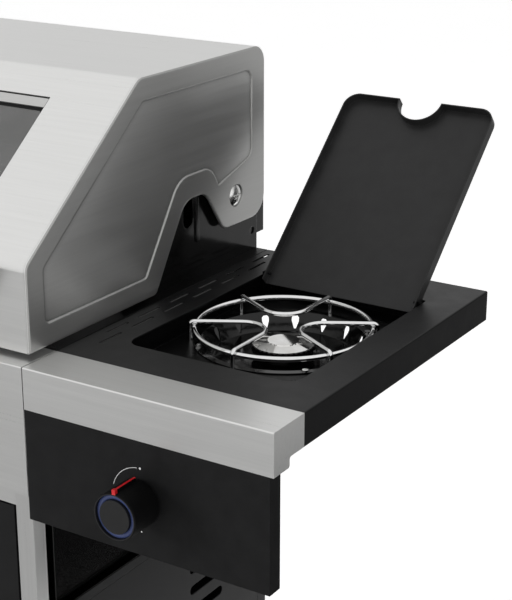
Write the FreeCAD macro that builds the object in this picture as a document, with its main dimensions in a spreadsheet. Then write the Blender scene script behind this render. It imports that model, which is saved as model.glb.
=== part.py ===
import FreeCAD, Part
import math
import os
import re

import Sketcher
from FreeCAD import Placement, Rotation, Vector

# Gas barbecue grill: a cabinet on casters, a firebox under a hinged hood, and two side shelves, the
# right one with a lidded side burner. Millimetres, +Z up, the front faces -Y, and the origin is on the
# floor at the middle of the whole object's footprint as it stands, with the side burner's lid open.
#
# Heights called drop or rise are taken from the table top, and depths called back from the front plane,
# which the control panel and the shelf trims share. Sideways places on a shelf are taken from the
# shelf's inner edge.

SIZES = {
    # overall
    "body_width": 720.0,
    "table_height": 900.0,
    "shelf_width": 320.0,
    "shelf_depth": 501.5,
    "shelf_rim": 37.5,
    "steel_sheet": 1.5,
    "sheet_fold": 2.0,
    "seam": 0.6,
    "running_fit": 0.05,
    "moving_gap": 0.4,
    # shelf trims and fascias
    "trim_depth": 58.6,
    "trim_height": 49.0,
    "trim_step_back": 30.5,
    "fascia_width": 316.0,
    "fascia_depth": 19.5,
    "fascia_height": 133.0,
    # control panel
    "panel_height": 155.0,
    "panel_lip": 18.0,
    # cabinet
    "cabinet_inset": 10.0,
    "cabinet_depth": 513.0,
    "cabinet_return": 21.0,
    "cabinet_side_drop": 330.0,
    "floor_height": 100.0,
    "floor_sheet": 2.0,
    "rail_strip": 11.5,
    "rail_strip_proud": 1.0,
    "rail_joint": 1.4,
    "rail_joint_inset": 12.0,
    "louvre_count": 7,
    "louvre_back": 323.0,
    "louvre_length": 77.0,
    "louvre_width": 14.0,
    "louvre_drop": 374.0,
    "louvre_pitch": 31.5,
    "post_inset": 4.0,
    "post_width": 24.0,
    "post_back": 10.0,
    "post_depth": 20.0,
    "upper_rail": 22.0,
    "lower_rail": 10.0,
    # doors
    "door_sheet": 1.5,
    "door_depth": 12.0,
    "door_side_gap": 3.2,
    "door_end_gap": 2.0,
    "door_meeting": 3.0,
    "door_pin_inset": 6.0,
    "door_pin_radius": 3.0,
    "door_pin_length": 12.0,
    "grip_length": 260.0,
    "grip_top_gap": 40.0,
    "grip_reach": 15.0,
    "grip_return": 13.0,
    # firebox
    "firebox_inset": 19.0,
    "firebox_sheet": 2.0,
    "firebox_front_back": 60.0,
    "end_wall_gap": 2.0,
    "firebox_end_drop": 325.0,
    "firebox_wall_back": 70.0,
    "rear_wall_inset": 14.0,
    "firebox_wall_drop": 190.0,
    "firebox_slope_drop": 222.0,
    "firebox_slope_run": 145.0,
    "firebox_rear_rise": 60.0,
    "end_wall_rise": 137.0,
    "end_wall_front": 284.0,
    "end_wall_foot": 200.0,
    "end_wall_step": 24.0,
    "end_wall_round": 16.0,
    "spit_back": 345.0,
    "spit_rise": 77.0,
    "spit_radius": 11.0,
    "bead_back": 362.5,
    "bead_low": 47.0,
    "bead_high": 110.0,
    "bead_radius": 3.0,
    "bead_proud": 2.0,
    "rear_hole_inset": 11.0,
    "rear_hole_rise": 26.0,
    "rear_hole_radius": 5.0,
    "shield_gap": 18.0,
    "shield_low": 19.0,
    "shield_high": 150.0,
    "runner_width": 12.0,
    # grease tray
    "tray_front_back": 190.0,
    "tray_rear_back": 500.0,
    "tray_gap": 8.0,
    "tray_height": 30.0,
    "tray_handle": 14.0,
    # cooking parts
    "grate_drop": 8.0,
    "grate_height": 12.0,
    "grate_bar": 9.0,
    "grate_bars": 15,
    "grate_cross_bar": 8.0,
    "grate_gap": 2.0,
    "rack_rise": 110.0,
    "rack_front_back": 300.0,
    "rack_rear_back": 425.0,
    "rack_wires": 25,
    "rack_rail_radius": 3.0,
    "rack_wire_radius": 2.0,
    "tamer_width": 90.0,
    "tamer_rise": 28.0,
    "tamer_drop": 85.0,
    "burner_radius": 14.0,
    "burner_wall": 1.5,
    "burner_mouth_lap": 4.0,
    # gas train
    "knob_pitch": 210.0,
    "knob_drop": 117.0,
    "side_knob_across": 156.0,
    "stem_radius": 4.0,
    "stem_end_gap": 0.8,
    "stem_root_back": 29.0,
    "panel_hole_radius": 6.0,
    "valve_front_back": 12.0,
    "valve_rear_back": 44.0,
    "valve_half": 13.0,
    "valve_nozzle_radius": 5.0,
    "valve_nozzle_back": 54.0,
    "manifold_radius": 8.0,
    "manifold_bore": 6.5,
    "manifold_back": 30.0,
    "manifold_below": 24.0,
    "manifold_overrun": 20.0,
    "inlet_overrun": 60.0,
    "inlet_radius": 7.0,
    "inlet_wall": 3.0,
    "inlet_length": 40.0,
    "inlet_offset": 14.0,
    "elbow_arm": 7.0,
    "elbow_radius": 10.0,
    "elbow_rise": 9.0,
    "elbow_drop": 14.0,
    "electrode_radius": 3.9,
    "electrode_hole": 4.0,
    "electrode_tip_radius": 1.0,
    "electrode_offset": 26.0,
    "electrode_rise": 17.0,
    "electrode_tip": 8.0,
    # knobs
    "knob_radius": 26.8,
    "knob_reach": 46.0,
    "knob_travel": 4.0,
    "knob_edge": 1.0,
    "knob_face": 4.2,
    "knob_ring_radius": 21.8,
    "knob_ring_width": 5.8,
    "knob_ring_depth": 4.2,
    "pointer_width": 2.8,
    "pointer_proud": 4.0,
    "pointer_length": 37.0,
    "pointer_cap_width": 4.4,
    "pointer_cap_proud": 4.5,
    "pointer_cap_length": 4.0,
    # hood
    "hood_inset": 8.0,
    "hood_front": 24.0,
    "hood_low": 5.0,
    "hood_bend": 105.2,
    "hood_slope": 38.7,
    "hood_top": 274.5,
    "hood_back": 506.0,
    "hood_rear_edge": 180.0,
    "hood_end_depth": 3.5,
    "hood_bend_radius": 15.0,
    "hood_upper_radius": 20.0,
    "hood_rear_radius": 22.0,
    "lobe_low": 50.0,
    "lobe_slant": 40.0,
    "lobe_radius": 30.0,
    "lobe_front_radius": 18.0,
    "notch_top": 108.0,
    "notch_width": 43.7,
    "notch_front": 324.3,
    "notch_front_radius": 30.0,
    "notch_rear_radius": 26.0,
    "notch_slant": 64.3,
    "notch_foot_radius": 10.0,
    "hood_edge_round": 2.0,
    "field_depth": 1.3,
    "field_border": 28.0,
    "field_slope_border": 24.5,
    "field_top_border": 26.5,
    "field_rear_border": 30.0,
    "field_low_border": 26.0,
    "field_foot_border": 20.0,
    "field_crest_border": 30.0,
    "field_crest_lead": 12.3,
    "field_crest_tail": 12.0,
    "field_kink_back": 30.0,
    "field_kink_rise": 3.0,
    "field_pivot_rise": 45.0,
    "field_radius": 16.0,
    "field_crest_front_radius": 38.0,
    "field_crest_rear_radius": 30.0,
    "pivot_back": 437.0,
    "pivot_rise": 89.0,
    "pivot_radius": 4.0,
    "pivot_shoulder": 8.0,
    "pivot_nut_radius": 7.5,
    "pivot_nut_height": 5.0,
    "pivot_head_radius": 13.5,
    "pivot_head_height": 4.0,
    "pivot_cross_reach": 8.5,
    "pivot_cross_width": 3.6,
    "pivot_cross_depth": 3.0,
    "pivot_dimple": 15.0,
    "pivot_dimple_depth": 1.5,
    # hood fittings
    "window_half": 248.0,
    "window_low": 92.0,
    "window_high": 227.0,
    "window_lap": 8.0,
    "glass_thickness": 4.0,
    "retainer_gap": 2.6,
    "retainer_width": 13.0,
    "handle_half": 270.0,
    "handle_radius": 12.5,
    "handle_wall": 1.5,
    "handle_rise": 75.0,
    "handle_out": 25.0,
    "standoff_inset": 22.0,
    "standoff_radius": 8.0,
    "gauge_radius": 30.0,
    "gauge_height": 9.0,
    "gauge_along": 46.0,
    "gauge_stem": 4.0,
    "gauge_stem_length": 30.0,
    # side burner
    "recess_side_gap": 3.6,
    "recess_front_reach": 160.0,
    "recess_corner": 18.0,
    "recess_back_corner": 3.0,
    "pan_depth": 26.0,
    "pan_margin": 1.5,
    "pan_flange": 10.0,
    "burner_across": 161.0,
    "burner_back": 279.0,
    "bowl_radius": 98.0,
    "bowl_rim_width": 8.5,
    "bowl_clearance": 0.3,
    "bowl_bottom_radius": 88.0,
    "bowl_bottom_drop": 46.0,
    "bowl_slots": 16,
    "bowl_slot_width": 9.0,
    "bowl_slot_low": 44.0,
    "bowl_slot_high": 28.5,
    "bowl_screw_inset": 3.8,
    "bowl_screw_radius": 1.7,
    "bowl_screw_head": 3.6,
    "bowl_screw_head_height": 2.2,
    "head_radius": 38.0,
    "head_drop": 29.0,
    "head_height": 7.5,
    "head_neck": 14.0,
    "head_bore": 10.0,
    "head_shoulder": 24.0,
    "head_shoulder_height": 3.0,
    "head_length": 75.0,
    "port_count": 36,
    "port_width": 2.6,
    "port_depth": 4.0,
    "cap_radius": 37.0,
    "cap_edge": 1.2,
    "cap_height": 3.2,
    "cap_button": 20.0,
    "cap_button_height": 0.9,
    "side_electrode_gap": 7.0,
    "gas_pipe_radius": 6.0,
    "gas_pipe_bend": 30.0,
    "pot_ring_radius": 104.4,
    "pot_ring_drop": 8.5,
    "pot_ring_wire": 3.0,
    "pot_wire": 2.7,
    "pot_weld": 0.5,
    "pot_apex_bend": 28.0,
    "pot_leg_bend": 5.0,
    # vent slots beside the side burner
    "vent_rows": 6,
    "vent_width": 4.0,
    "vent_length": 41.0,
    "vent_pitch": 62.0,
    "vent_inner_across": 12.5,
    "vent_outer_across": 26.0,
    "vent_inner_back": 134.0,
    "vent_outer_back": 103.0,
    # side burner lid
    "lid_side_gap": 3.75,
    "lid_front_gap": 10.35,
    "lid_flange": 13.0,
    "lid_corner": 20.0,
    "lid_lean": 42.8,
    "lid_notch": 30.0,
    "lid_pin_behind": 135.35,
    "lid_pin_rise": 1.0,
    "lid_pin_inset": 12.0,
    "lid_pin_drop": 7.0,
    "lid_pin_radius": 2.0,
    "lid_pin_length": 9.0,
    "lid_swing_gap": 0.6,
    "ear_gap": 0.6,
    "ear_half": 6.0,
    "ear_above_pin": 3.5,
    # shelf brackets
    "bracket_width": 30.0,
    "bracket_height": 28.0,
    "bracket_length": 300.0,
    "bracket_gap": 4.0,
    # casters
    "wheel_radius": 37.5,
    "wheel_width": 24.0,
    "hub_width": 28.0,
    "hub_radius": 9.0,
    "axle_radius": 4.0,
    "fork_gap": 0.6,
    "fork_sheet": 2.5,
    "fork_foot": 9.0,
    "caster_plate": 60.0,
    "caster_plate_height": 4.0,
    "bearing_radius": 22.0,
    "bearing_height": 6.0,
    "crown_height": 7.0,
    "king_pin_radius": 5.0,
    "caster_trail": 24.0,
    "caster_across": 300.0,
    "caster_front_back": 70.0,
    "caster_rear_back": 450.0,
    "brake_offset": 6.0,
    "brake_drop": 9.5,
    "brake_pin_radius": 2.5,
    "brake_boss": 5.0,
    "brake_pedal": 40.0,
    "brake_sheet": 3.0,
    "brake_gap": 0.7,
}

# Sizes and places worked out from the sizes
DERIVED = {
    "cabinet_seam_back": "cabinet_depth - cabinet_return",
    "tray_top_drop": "firebox_slope_drop + firebox_sheet + tray_gap",
    "runner_drop": "tray_top_drop + tray_height",
    "shield_back": "hood_back + shield_gap",
    "firebox_rear_back": "hood_back - end_wall_gap",
    "firebox_rear_wall_back": "firebox_rear_back - rear_wall_inset",
    "rear_hole_back": "firebox_rear_back - rear_hole_inset",
    "burner_mouth_back": "valve_nozzle_back - burner_mouth_lap",
    "knob_base_gap": "knob_travel + moving_gap",
    "knob_bore_depth": "knob_reach - knob_base_gap - knob_face",
    "stem_tip": "knob_base_gap + knob_bore_depth - knob_travel - stem_end_gap",
    "notch_rear": "notch_front + notch_width",
    "notch_foot": "notch_front - notch_slant",
    "lobe_front": "notch_rear + lobe_slant",
    "recess_half": "pot_ring_radius + pot_ring_wire + recess_side_gap",
    "recess_left": "burner_across - recess_half",
    "recess_right": "burner_across + recess_half",
    "recess_front": "burner_back - recess_front_reach",
    "pan_reach": "pan_margin + pan_flange",
    "bracket_front": "recess_front - pan_reach - bracket_gap - bracket_width",
    "bracket_rear": "recess_back + pan_reach + bracket_gap",
    "lid_width": "2 * recess_half - 2 * lid_side_gap",
    "lid_length": "lid_pin_back + lid_pin_inset - recess_front - lid_front_gap",
    "lid_pin_back": "burner_back + lid_pin_behind",
    "bowl_rim": "bowl_radius + bowl_rim_width",
    "bowl_screw_circle": "bowl_rim - bowl_screw_inset",
    "side_electrode_out": "head_radius + side_electrode_gap",
    "half": "body_width / 2",
    "top": "table_height",
    "lid_reach": "lid_pin_back + (lid_length - lid_pin_inset) * cos(lid_lean) + lid_pin_drop * sin(lid_lean)",
    "front": "(knob_reach - lid_reach) / 2",
    "cabinet_half": "half - cabinet_inset",
    "firebox_half": "half - firebox_inset",
    "firebox_inner": "firebox_half - firebox_sheet",
    "hood_half": "half - hood_inset",
    "shell_half": "hood_half - hood_end_depth",
    "hood_upper": "hood_front + (hood_top - hood_bend) / tan(hood_slope)",
    "post_outer": "half - post_inset",
    "post_inner": "post_outer - post_width",
    "post_rear": "front + post_back + post_depth",
    "panel_low": "top - panel_height",
    "side_top": "top - cabinet_side_drop",
    "door_low": "floor_height + lower_rail + door_end_gap",
    "door_high": "panel_low - upper_rail - door_end_gap",
    "door_outer": "post_inner - door_side_gap",
    "door_pin_across": "door_outer - door_pin_inset",
    "door_pin_y": "front + post_back + door_depth / 2",
    "knob_z": "top - knob_drop",
    "side_knob_x": "half + side_knob_across",
    "manifold_z": "knob_z - manifold_below",
    "pivot_y": "front + pivot_back",
    "pivot_z": "top + pivot_rise",
    "burner_x": "half + burner_across",
    "burner_y": "front + burner_back",
    "pan_floor": "top - pan_depth",
    "lid_pin_y": "front + lid_pin_back",
    "lid_pin_z": "top + lid_pin_rise",
    "lid_swing": "sqrt(lid_pin_inset * lid_pin_inset + lid_pin_drop * lid_pin_drop)",
    "recess_back": "lid_pin_back + lid_swing + lid_swing_gap",
    "lid_bore": "lid_pin_radius + running_fit",
    "slope_y": "front + hood_front",
    "slope_z": "top + hood_bend",
    "handle_y": "front - handle_out",
    "handle_z": "top + handle_rise",
    "axle_z": "wheel_radius",
    "plate_low": "floor_height - caster_plate_height",
    "bearing_low": "plate_low - bearing_height",
    "crown_high": "bearing_low - moving_gap",
    "crown_low": "crown_high - crown_height",
    "fork_inner": "hub_width / 2 + fork_gap",
    "fork_outer": "fork_inner + fork_sheet",
    "grate_z": "top - grate_drop - grate_height",
    "brake_x": "caster_across + brake_offset",
    "brake_z": "plate_low - brake_drop",
    "brake_shoe": "brake_z - axle_z - wheel_radius - brake_gap",
}

TURNED_TO = {
    "X": Rotation(Vector(0, 1, 0), 90),
    "Y": Rotation(Vector(1, 0, 0), -90),
    "Z": Rotation(),
    "-Y": Rotation(Vector(1, 0, 0), 90),
}

doc = FreeCAD.newDocument("GasGrill")
cells = doc.addObject("Spreadsheet::Sheet", "Sizes")
for row, (alias, size) in enumerate(SIZES.items(), start=1):
    cells.set(f"A{row}", str(size))
    cells.setAlias(f"A{row}", alias)
doc.recompute()
parts = []


# ---------------------------------------------------------------- helpers

def formula(text):
    """A formula in plain words as an expression on the sheet's cells."""

    def spell_out(match):
        word = match.group()
        if word in DERIVED:
            return "(" + formula(DERIVED[word]) + ")"
        if word in SIZES:
            return "Sizes." + word
        return word

    return re.sub(r"[A-Za-z_]\w*", spell_out, str(text))


def number(text):
    """A formula's present value."""
    return float(cells.evalExpression(formula(text)))


def bind(thing, **formulas):
    for name, text in formulas.items():
        thing.setExpression(name, formula(text))


def put(thing, x, y, z):
    """Bind a thing's place."""
    for axis, text in (("x", x), ("y", y), ("z", z)):
        thing.setExpression("Placement.Base." + axis, formula(text))
    return thing


def part(label, thing):
    """Name a finished sub-part; its label names its file."""
    thing.Label = label
    parts.append(thing)
    return thing


def slab(x, y, z):
    """A block between three pairs of bounds."""
    block = doc.addObject("Part::Box", "Block")
    bind(block, Length=f"({x[1]}) - ({x[0]})", Width=f"({y[1]}) - ({y[0]})", Height=f"({z[1]}) - ({z[0]})")
    return put(block, x[0], y[0], z[0])


def rod(axis, x, y, z, radius, length):
    """A cylinder that runs from a point along an axis."""
    cylinder = doc.addObject("Part::Cylinder", "Rod")
    cylinder.Placement = Placement(Vector(), TURNED_TO[axis])
    bind(cylinder, Radius=radius, Height=length)
    return put(cylinder, x, y, z)


def fuse(*pieces):
    joined = doc.addObject("Part::MultiFuse", "Joined")
    joined.Shapes = list(pieces)
    joined.Refine = True
    return joined


def cut(base, *tools):
    remainder = doc.addObject("Part::Cut", "Remainder")
    remainder.Base = base
    remainder.Tool = tools[0] if len(tools) == 1 else fuse(*tools)
    return remainder


def group(*pieces):
    """Separate solids that share a sub-part."""
    together = doc.addObject("Part::Compound", "Group")
    together.Links = list(pieces)
    return together


def mirror(piece):
    """The piece's twin on the other side of the body."""
    twin = doc.addObject("Part::Mirroring", "Twin")
    twin.Source = piece
    twin.Normal = Vector(1, 0, 0)
    return twin


def pair(piece):
    return group(mirror(piece), piece)


def plane_of(body, role):
    return next(plane for plane in body.Origin.OriginFeatures if plane.Role == role)


def closed_sketch(body, plane, points):
    """A closed outline whose corners are bound to formulas."""
    sketch = body.newObject("Sketcher::SketchObject", "Outline")
    sketch.AttachmentSupport = [(plane_of(body, plane), "")]
    sketch.MapMode = "FlatFace"
    corners = [Vector(number(u), number(v), 0) for u, v in points]
    count = len(corners)
    for k, corner in enumerate(corners):
        sketch.addGeometry(Part.LineSegment(corner, corners[(k + 1) % count]))
    for k in range(count):
        sketch.addConstraint(Sketcher.Constraint("Coincident", k, 2, (k + 1) % count, 1))
    for k, point in enumerate(points):
        for kind, text in zip(("DistanceX", "DistanceY"), point):
            rule = sketch.addConstraint(Sketcher.Constraint(kind, -1, 1, k, 1, number(text)))
            sketch.setExpression(f"Constraints[{rule}]", formula(text))
    return sketch


def in_sketch_plane(plane, point):
    """A body point's two coordinates along a sketch plane, and the one across it."""
    first, second, across = {"XY_Plane": "xyz", "YZ_Plane": "yzx", "XZ_Plane": "xzy"}[plane]
    return getattr(point, first), getattr(point, second), getattr(point, across)


def edges_across(shape, plane, corners):
    """Names of the edges that cross the sketch plane at the given corners."""
    names = []
    for k, edge in enumerate(shape.Edges, start=1):
        flat = [in_sketch_plane(plane, vertex.Point) for vertex in edge.Vertexes]
        if len(flat) < 2 or abs(flat[0][2] - flat[-1][2]) < 0.01:
            continue
        if any(all(math.dist(point[:2], corner) < 0.01 for point in flat) for corner in corners):
            names.append(f"Edge{k}")
    return names


def face_towards(shape, plane, sign):
    """Name of the flat face that lies furthest across the sketch plane."""
    def distance(k):
        return sign * in_sketch_plane(plane, shape.Faces[k].CenterOfMass)[2]

    flat = [k for k, face in enumerate(shape.Faces) if face.Surface.TypeId == "Part::GeomPlane"]
    return f"Face{max(flat, key=distance) + 1}"


def outline(plane, points, depth, x="0", y="0", z="0", rounds=(), edge=None):
    """A flat piece from its outline: the corners listed in rounds get their radii, and edge rounds or bevels
    one face's whole rim."""
    body = doc.addObject("PartDesign::Body", "Profile")
    sketch = closed_sketch(body, plane, points)
    last = body.newObject("PartDesign::Pad", "Pad")
    last.Profile = sketch
    bind(last, Length=depth)
    doc.recompute([sketch, last, body])
    for radius, corners in rounds:
        spots = [(number(points[k][0]), number(points[k][1])) for k in corners]
        names = edges_across(last.Shape, plane, spots)
        rounding = body.newObject("PartDesign::Fillet", "Round")
        rounding.Base = (last, names)
        bind(rounding, Radius=radius)
        last = rounding
        doc.recompute([last, body])
    if edge:
        kind, sign, size = edge
        rim = body.newObject("PartDesign::" + kind, "Rim")
        rim.Base = (last, [face_towards(last.Shape, plane, sign)])
        rim.setExpression("Radius" if kind == "Fillet" else "Size", formula(size))
        last = rim
        doc.recompute([last, body])
    return put(body, x, y, z)


def lathe(points, x, y, z, axis="Z"):
    """A turned piece from half its section: radius, then distance along the axis."""
    body = doc.addObject("PartDesign::Body", "Turned")
    sketch = closed_sketch(body, "XZ_Plane", points)
    turned = body.newObject("PartDesign::Revolution", "Revolution")
    turned.Profile = sketch
    turned.ReferenceAxis = (sketch, ["V_Axis"])
    turned.Angle = 360
    body.Placement = Placement(Vector(), TURNED_TO[axis])
    return put(body, x, y, z)


def slot(axis, low, across, y, length, width, depth):
    """A round-ended cutter that lies along Y and cuts through a sheet along an axis."""
    first = f"({y}) + {width} / 2"
    last = f"({y}) + {length} - {width} / 2"
    sides = (f"({across}) - {width} / 2", f"({across}) + {width} / 2")
    through = (low, f"({low}) + {depth}")
    if axis == "X":
        middle = slab(through, (first, last), sides)
        ends = [rod("X", low, place, across, f"{width} / 2", depth) for place in (first, last)]
    else:
        middle = slab(sides, (first, last), through)
        ends = [rod("Z", across, place, low, f"{width} / 2", depth) for place in (first, last)]
    return fuse(middle, *ends)


def on_slope(x, along, out):
    """A block on the hood's slope: across, up the slope, and out of it."""
    block = doc.addObject("Part::Box", "Block")
    bind(block, Length=f"({x[1]}) - ({x[0]})", Width=f"({along[1]}) - ({along[0]})",
         Height=f"({out[1]}) - ({out[0]})")
    return place_on_slope(block, x[0], along[0], out[0])


def place_on_slope(thing, x, along, out):
    thing.Placement = Placement(Vector(), Rotation(Vector(1, 0, 0), 1))
    bind(thing, **{"Placement.Rotation.Angle": "hood_slope"})
    y = f"slope_y + ({along}) * cos(hood_slope) - ({out}) * sin(hood_slope)"
    z = f"slope_z + ({along}) * sin(hood_slope) + ({out}) * cos(hood_slope)"
    return put(thing, x, y, z)


def feature(shape):
    """A piece made with Part's own functions."""
    made = doc.addObject("Part::Feature", "Swept")
    made.Shape = shape
    made.Placement = Placement()
    return made


def bent_line(points, bends):
    """Straight runs joined by tangent arcs, one radius for each corner."""
    edges = []
    start = points[0]
    for before, corner, after, bend in zip(points, points[1:], points[2:], bends):
        inward = Vector(before - corner).normalize()
        outward = Vector(after - corner).normalize()
        half_turn = inward.getAngle(outward) / 2
        first = corner + inward * (bend / math.tan(half_turn))
        last = corner + outward * (bend / math.tan(half_turn))
        middle = corner + Vector(inward + outward).normalize() * (bend / math.sin(half_turn) - bend)
        edges.append(Part.LineSegment(start, first).toShape())
        edges.append(Part.Arc(first, middle, last).toShape())
        start = last
    edges.append(Part.LineSegment(start, points[-1]).toShape())
    return Part.Wire(edges)


def swept(points, radius, bends):
    """A round wire or pipe along a bent line."""
    section = Part.Wire(Part.makeCircle(radius, points[0], points[1] - points[0]))
    return feature(bent_line(points, bends).makePipeShell([section], True, True))


def point(x, y, z):
    return Vector(number(x), number(y), number(z))


# ---------------------------------------------------------------- cabinet

def cabinet_side():
    plate = slab(("cabinet_half - steel_sheet", "cabinet_half"), ("post_rear", "front + cabinet_seam_back"),
                 ("floor_height", "side_top"))
    strip = slab(("cabinet_half", "cabinet_half + rail_strip_proud"),
                 ("post_rear", "front + cabinet_seam_back"), ("side_top - rail_strip", "side_top"))
    louvres = [
        slot("X", "cabinet_half - 2 * steel_sheet", f"top - louvre_drop - {k} * louvre_pitch",
             "front + louvre_back", "louvre_length", "louvre_width", "4 * steel_sheet")
        for k in range(int(SIZES["louvre_count"]))
    ]
    joint = slab(("cabinet_half - 2 * steel_sheet", "cabinet_half + 2 * rail_strip_proud"),
                 ("post_rear + rail_joint_inset", "front + cabinet_seam_back - rail_joint_inset"),
                 ("side_top - rail_strip - rail_joint", "side_top - rail_strip"))
    return cut(fuse(plate, strip), *louvres, joint)


def cabinet_back():
    high = ("floor_height", "side_top")
    plate = slab(("-cabinet_half", "cabinet_half"),
                 ("front + cabinet_depth - steel_sheet", "front + cabinet_depth"), high)
    sides = [
        slab(x, ("front + cabinet_seam_back + seam", "front + cabinet_depth"), high)
        for x in (("-cabinet_half", "steel_sheet - cabinet_half"),
                  ("cabinet_half - steel_sheet", "cabinet_half"))
    ]
    return fuse(plate, *sides)


def front_post():
    depth = ("front + post_back", "post_rear")
    high = ("floor_height", "panel_low")
    bore = slab(("post_inner + steel_sheet", "post_outer - steel_sheet"),
                ("front + post_back + steel_sheet", "post_rear - steel_sheet"), high)
    return cut(slab(("post_inner", "post_outer"), depth, high), bore)


def door_pins():
    """Pins that stand in the rails and carry the doors."""
    ends = ("door_low - door_end_gap - door_pin_length / 2", "door_high + door_end_gap - door_pin_length / 2")
    return [rod("Z", "door_pin_across", "door_pin_y", low, "door_pin_radius", "door_pin_length")
            for low in ends]


def front_rail(low, high):
    rail = slab(("-post_inner", "post_inner"), ("front + post_back + seam", "front + post_back + door_depth"),
                (low, high))
    holes = [
        rod("Z", across, "door_pin_y", f"({low}) - seam", "door_pin_radius", f"({high}) - ({low}) + 2 * seam")
        for across in ("-door_pin_across", "door_pin_across")
    ]
    return cut(rail, *holes)


def door():
    """The right door: a folded sheet with a grip along its free edge."""
    depth = ("front + post_back", "front + post_back + door_depth")
    skin = slab(("door_meeting / 2", "door_outer"), depth, ("door_low", "door_high"))
    hollow = slab(("door_meeting / 2 + door_sheet", "door_outer - door_sheet"),
                  ("front + post_back + door_sheet", "front + post_back + 2 * door_depth"),
                  ("door_low + door_sheet", "door_high - door_sheet"))
    grip_high = ("door_high - grip_top_gap - grip_length", "door_high - grip_top_gap")
    web = slab(("door_meeting / 2", "door_meeting / 2 + door_sheet"),
               ("front + post_back - grip_reach", "front + post_back"), grip_high)
    lip = slab(("door_meeting / 2", "door_meeting / 2 + grip_return"),
               ("front + post_back - grip_reach", "front + post_back - grip_reach + door_sheet"), grip_high)
    bore = rod("Z", "door_pin_across", "door_pin_y", "door_low - seam", "door_pin_radius + running_fit",
               "door_high - door_low + 2 * seam")
    return cut(fuse(cut(skin, hollow), web, lip), bore)


def build_cabinet():
    part("cabinet_floor", slab(("steel_sheet - cabinet_half", "cabinet_half - steel_sheet"),
                               ("post_rear", "front + cabinet_depth - steel_sheet"),
                               ("floor_height", "floor_height + floor_sheet")))
    side = cabinet_side()
    part("cabinet_sides", pair(side))
    part("cabinet_back", cabinet_back())
    part("front_posts", pair(front_post()))
    part("front_rails", group(front_rail("floor_height", "floor_height + lower_rail"),
                              front_rail("panel_low - upper_rail", "panel_low")))
    right_door = part("door_right", door())
    part("door_left", mirror(right_door))


# ---------------------------------------------------------------- casters

def fork_leg(side, trail, crown):
    """One leg of a fork, which narrows towards the axle."""
    shape = [
        ("-bearing_radius * 0.7", crown),
        ("bearing_radius * 0.7", crown),
        (f"{trail} + fork_foot", "axle_z"),
        (f"{trail} + fork_foot / 2", "axle_z - fork_foot"),
        (f"{trail} - fork_foot / 2", "axle_z - fork_foot"),
        (f"{trail} - fork_foot", "axle_z"),
    ]
    y = "fork_outer" if side > 0 else "-fork_inner"
    return outline("XZ_Plane", shape, "fork_sheet"), y


def fork(x, y, trail, crown_bottom, crown_parts):
    """A fork with its axle at x, y; trail sets the axle behind the swivel."""
    legs = []
    for side in (1, -1):
        leg, offset = fork_leg(side, trail, crown_bottom)
        legs.append(put(leg, x, f"({y}) + ({offset})", "0"))
    axle = rod("Y", f"({x}) + ({trail})", f"({y}) - fork_outer", "axle_z", "axle_radius", "2 * fork_outer")
    return fuse(*crown_parts, *legs, axle)


def caster_wheel(x, y):
    """A tyre and hub in one turned piece, bored for its axle."""
    half_section = [
        ("axle_radius + running_fit", "hub_width / 2"),
        ("hub_radius", "hub_width / 2"),
        ("hub_radius", "wheel_width / 3"),
        ("wheel_radius * 0.7", "wheel_width / 4"),
        ("wheel_radius * 0.76", "wheel_width / 2"),
        ("wheel_radius * 0.92", "wheel_width / 2"),
        ("wheel_radius", "wheel_width * 0.36"),
    ]
    mirrored = [(radius, f"-({along})") for radius, along in reversed(half_section)]
    return lathe(half_section + mirrored, x, y, "axle_z", "Y")


def brake_pin(y):
    """The pin across a fixed fork that its brake lever turns on."""
    return rod("Y", "brake_x", f"{y} - fork_outer", "brake_z", "brake_pin_radius", "2 * fork_outer")


def brake_lever(y):
    """A pedal outside the wheel with a shoe that presses on the tyre; drawn pressed down."""
    shape = [
        ("-brake_boss", "0"),
        ("-brake_boss", "-brake_boss / 2"),
        ("-brake_boss / 2", "-brake_shoe"),
        ("brake_boss / 2", "-brake_shoe"),
        ("brake_boss", "-brake_boss / 2 - brake_sheet / 2"),
        ("brake_pedal", "-brake_boss - brake_sheet"),
        ("brake_pedal", "-brake_boss"),
        ("brake_boss", "brake_sheet / 2"),
        ("brake_boss / 2", "brake_boss"),
        ("-brake_boss / 2", "brake_boss"),
    ]
    half_width = "fork_inner - moving_gap"
    lever = outline("XZ_Plane", shape, f"2 * ({half_width})", "brake_x", f"{y} + {half_width}", "brake_z")
    bore = rod("Y", "brake_x", f"{y} - fork_outer", "brake_z", "brake_pin_radius + running_fit",
               "2 * fork_outer")
    return cut(lever, bore)


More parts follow.
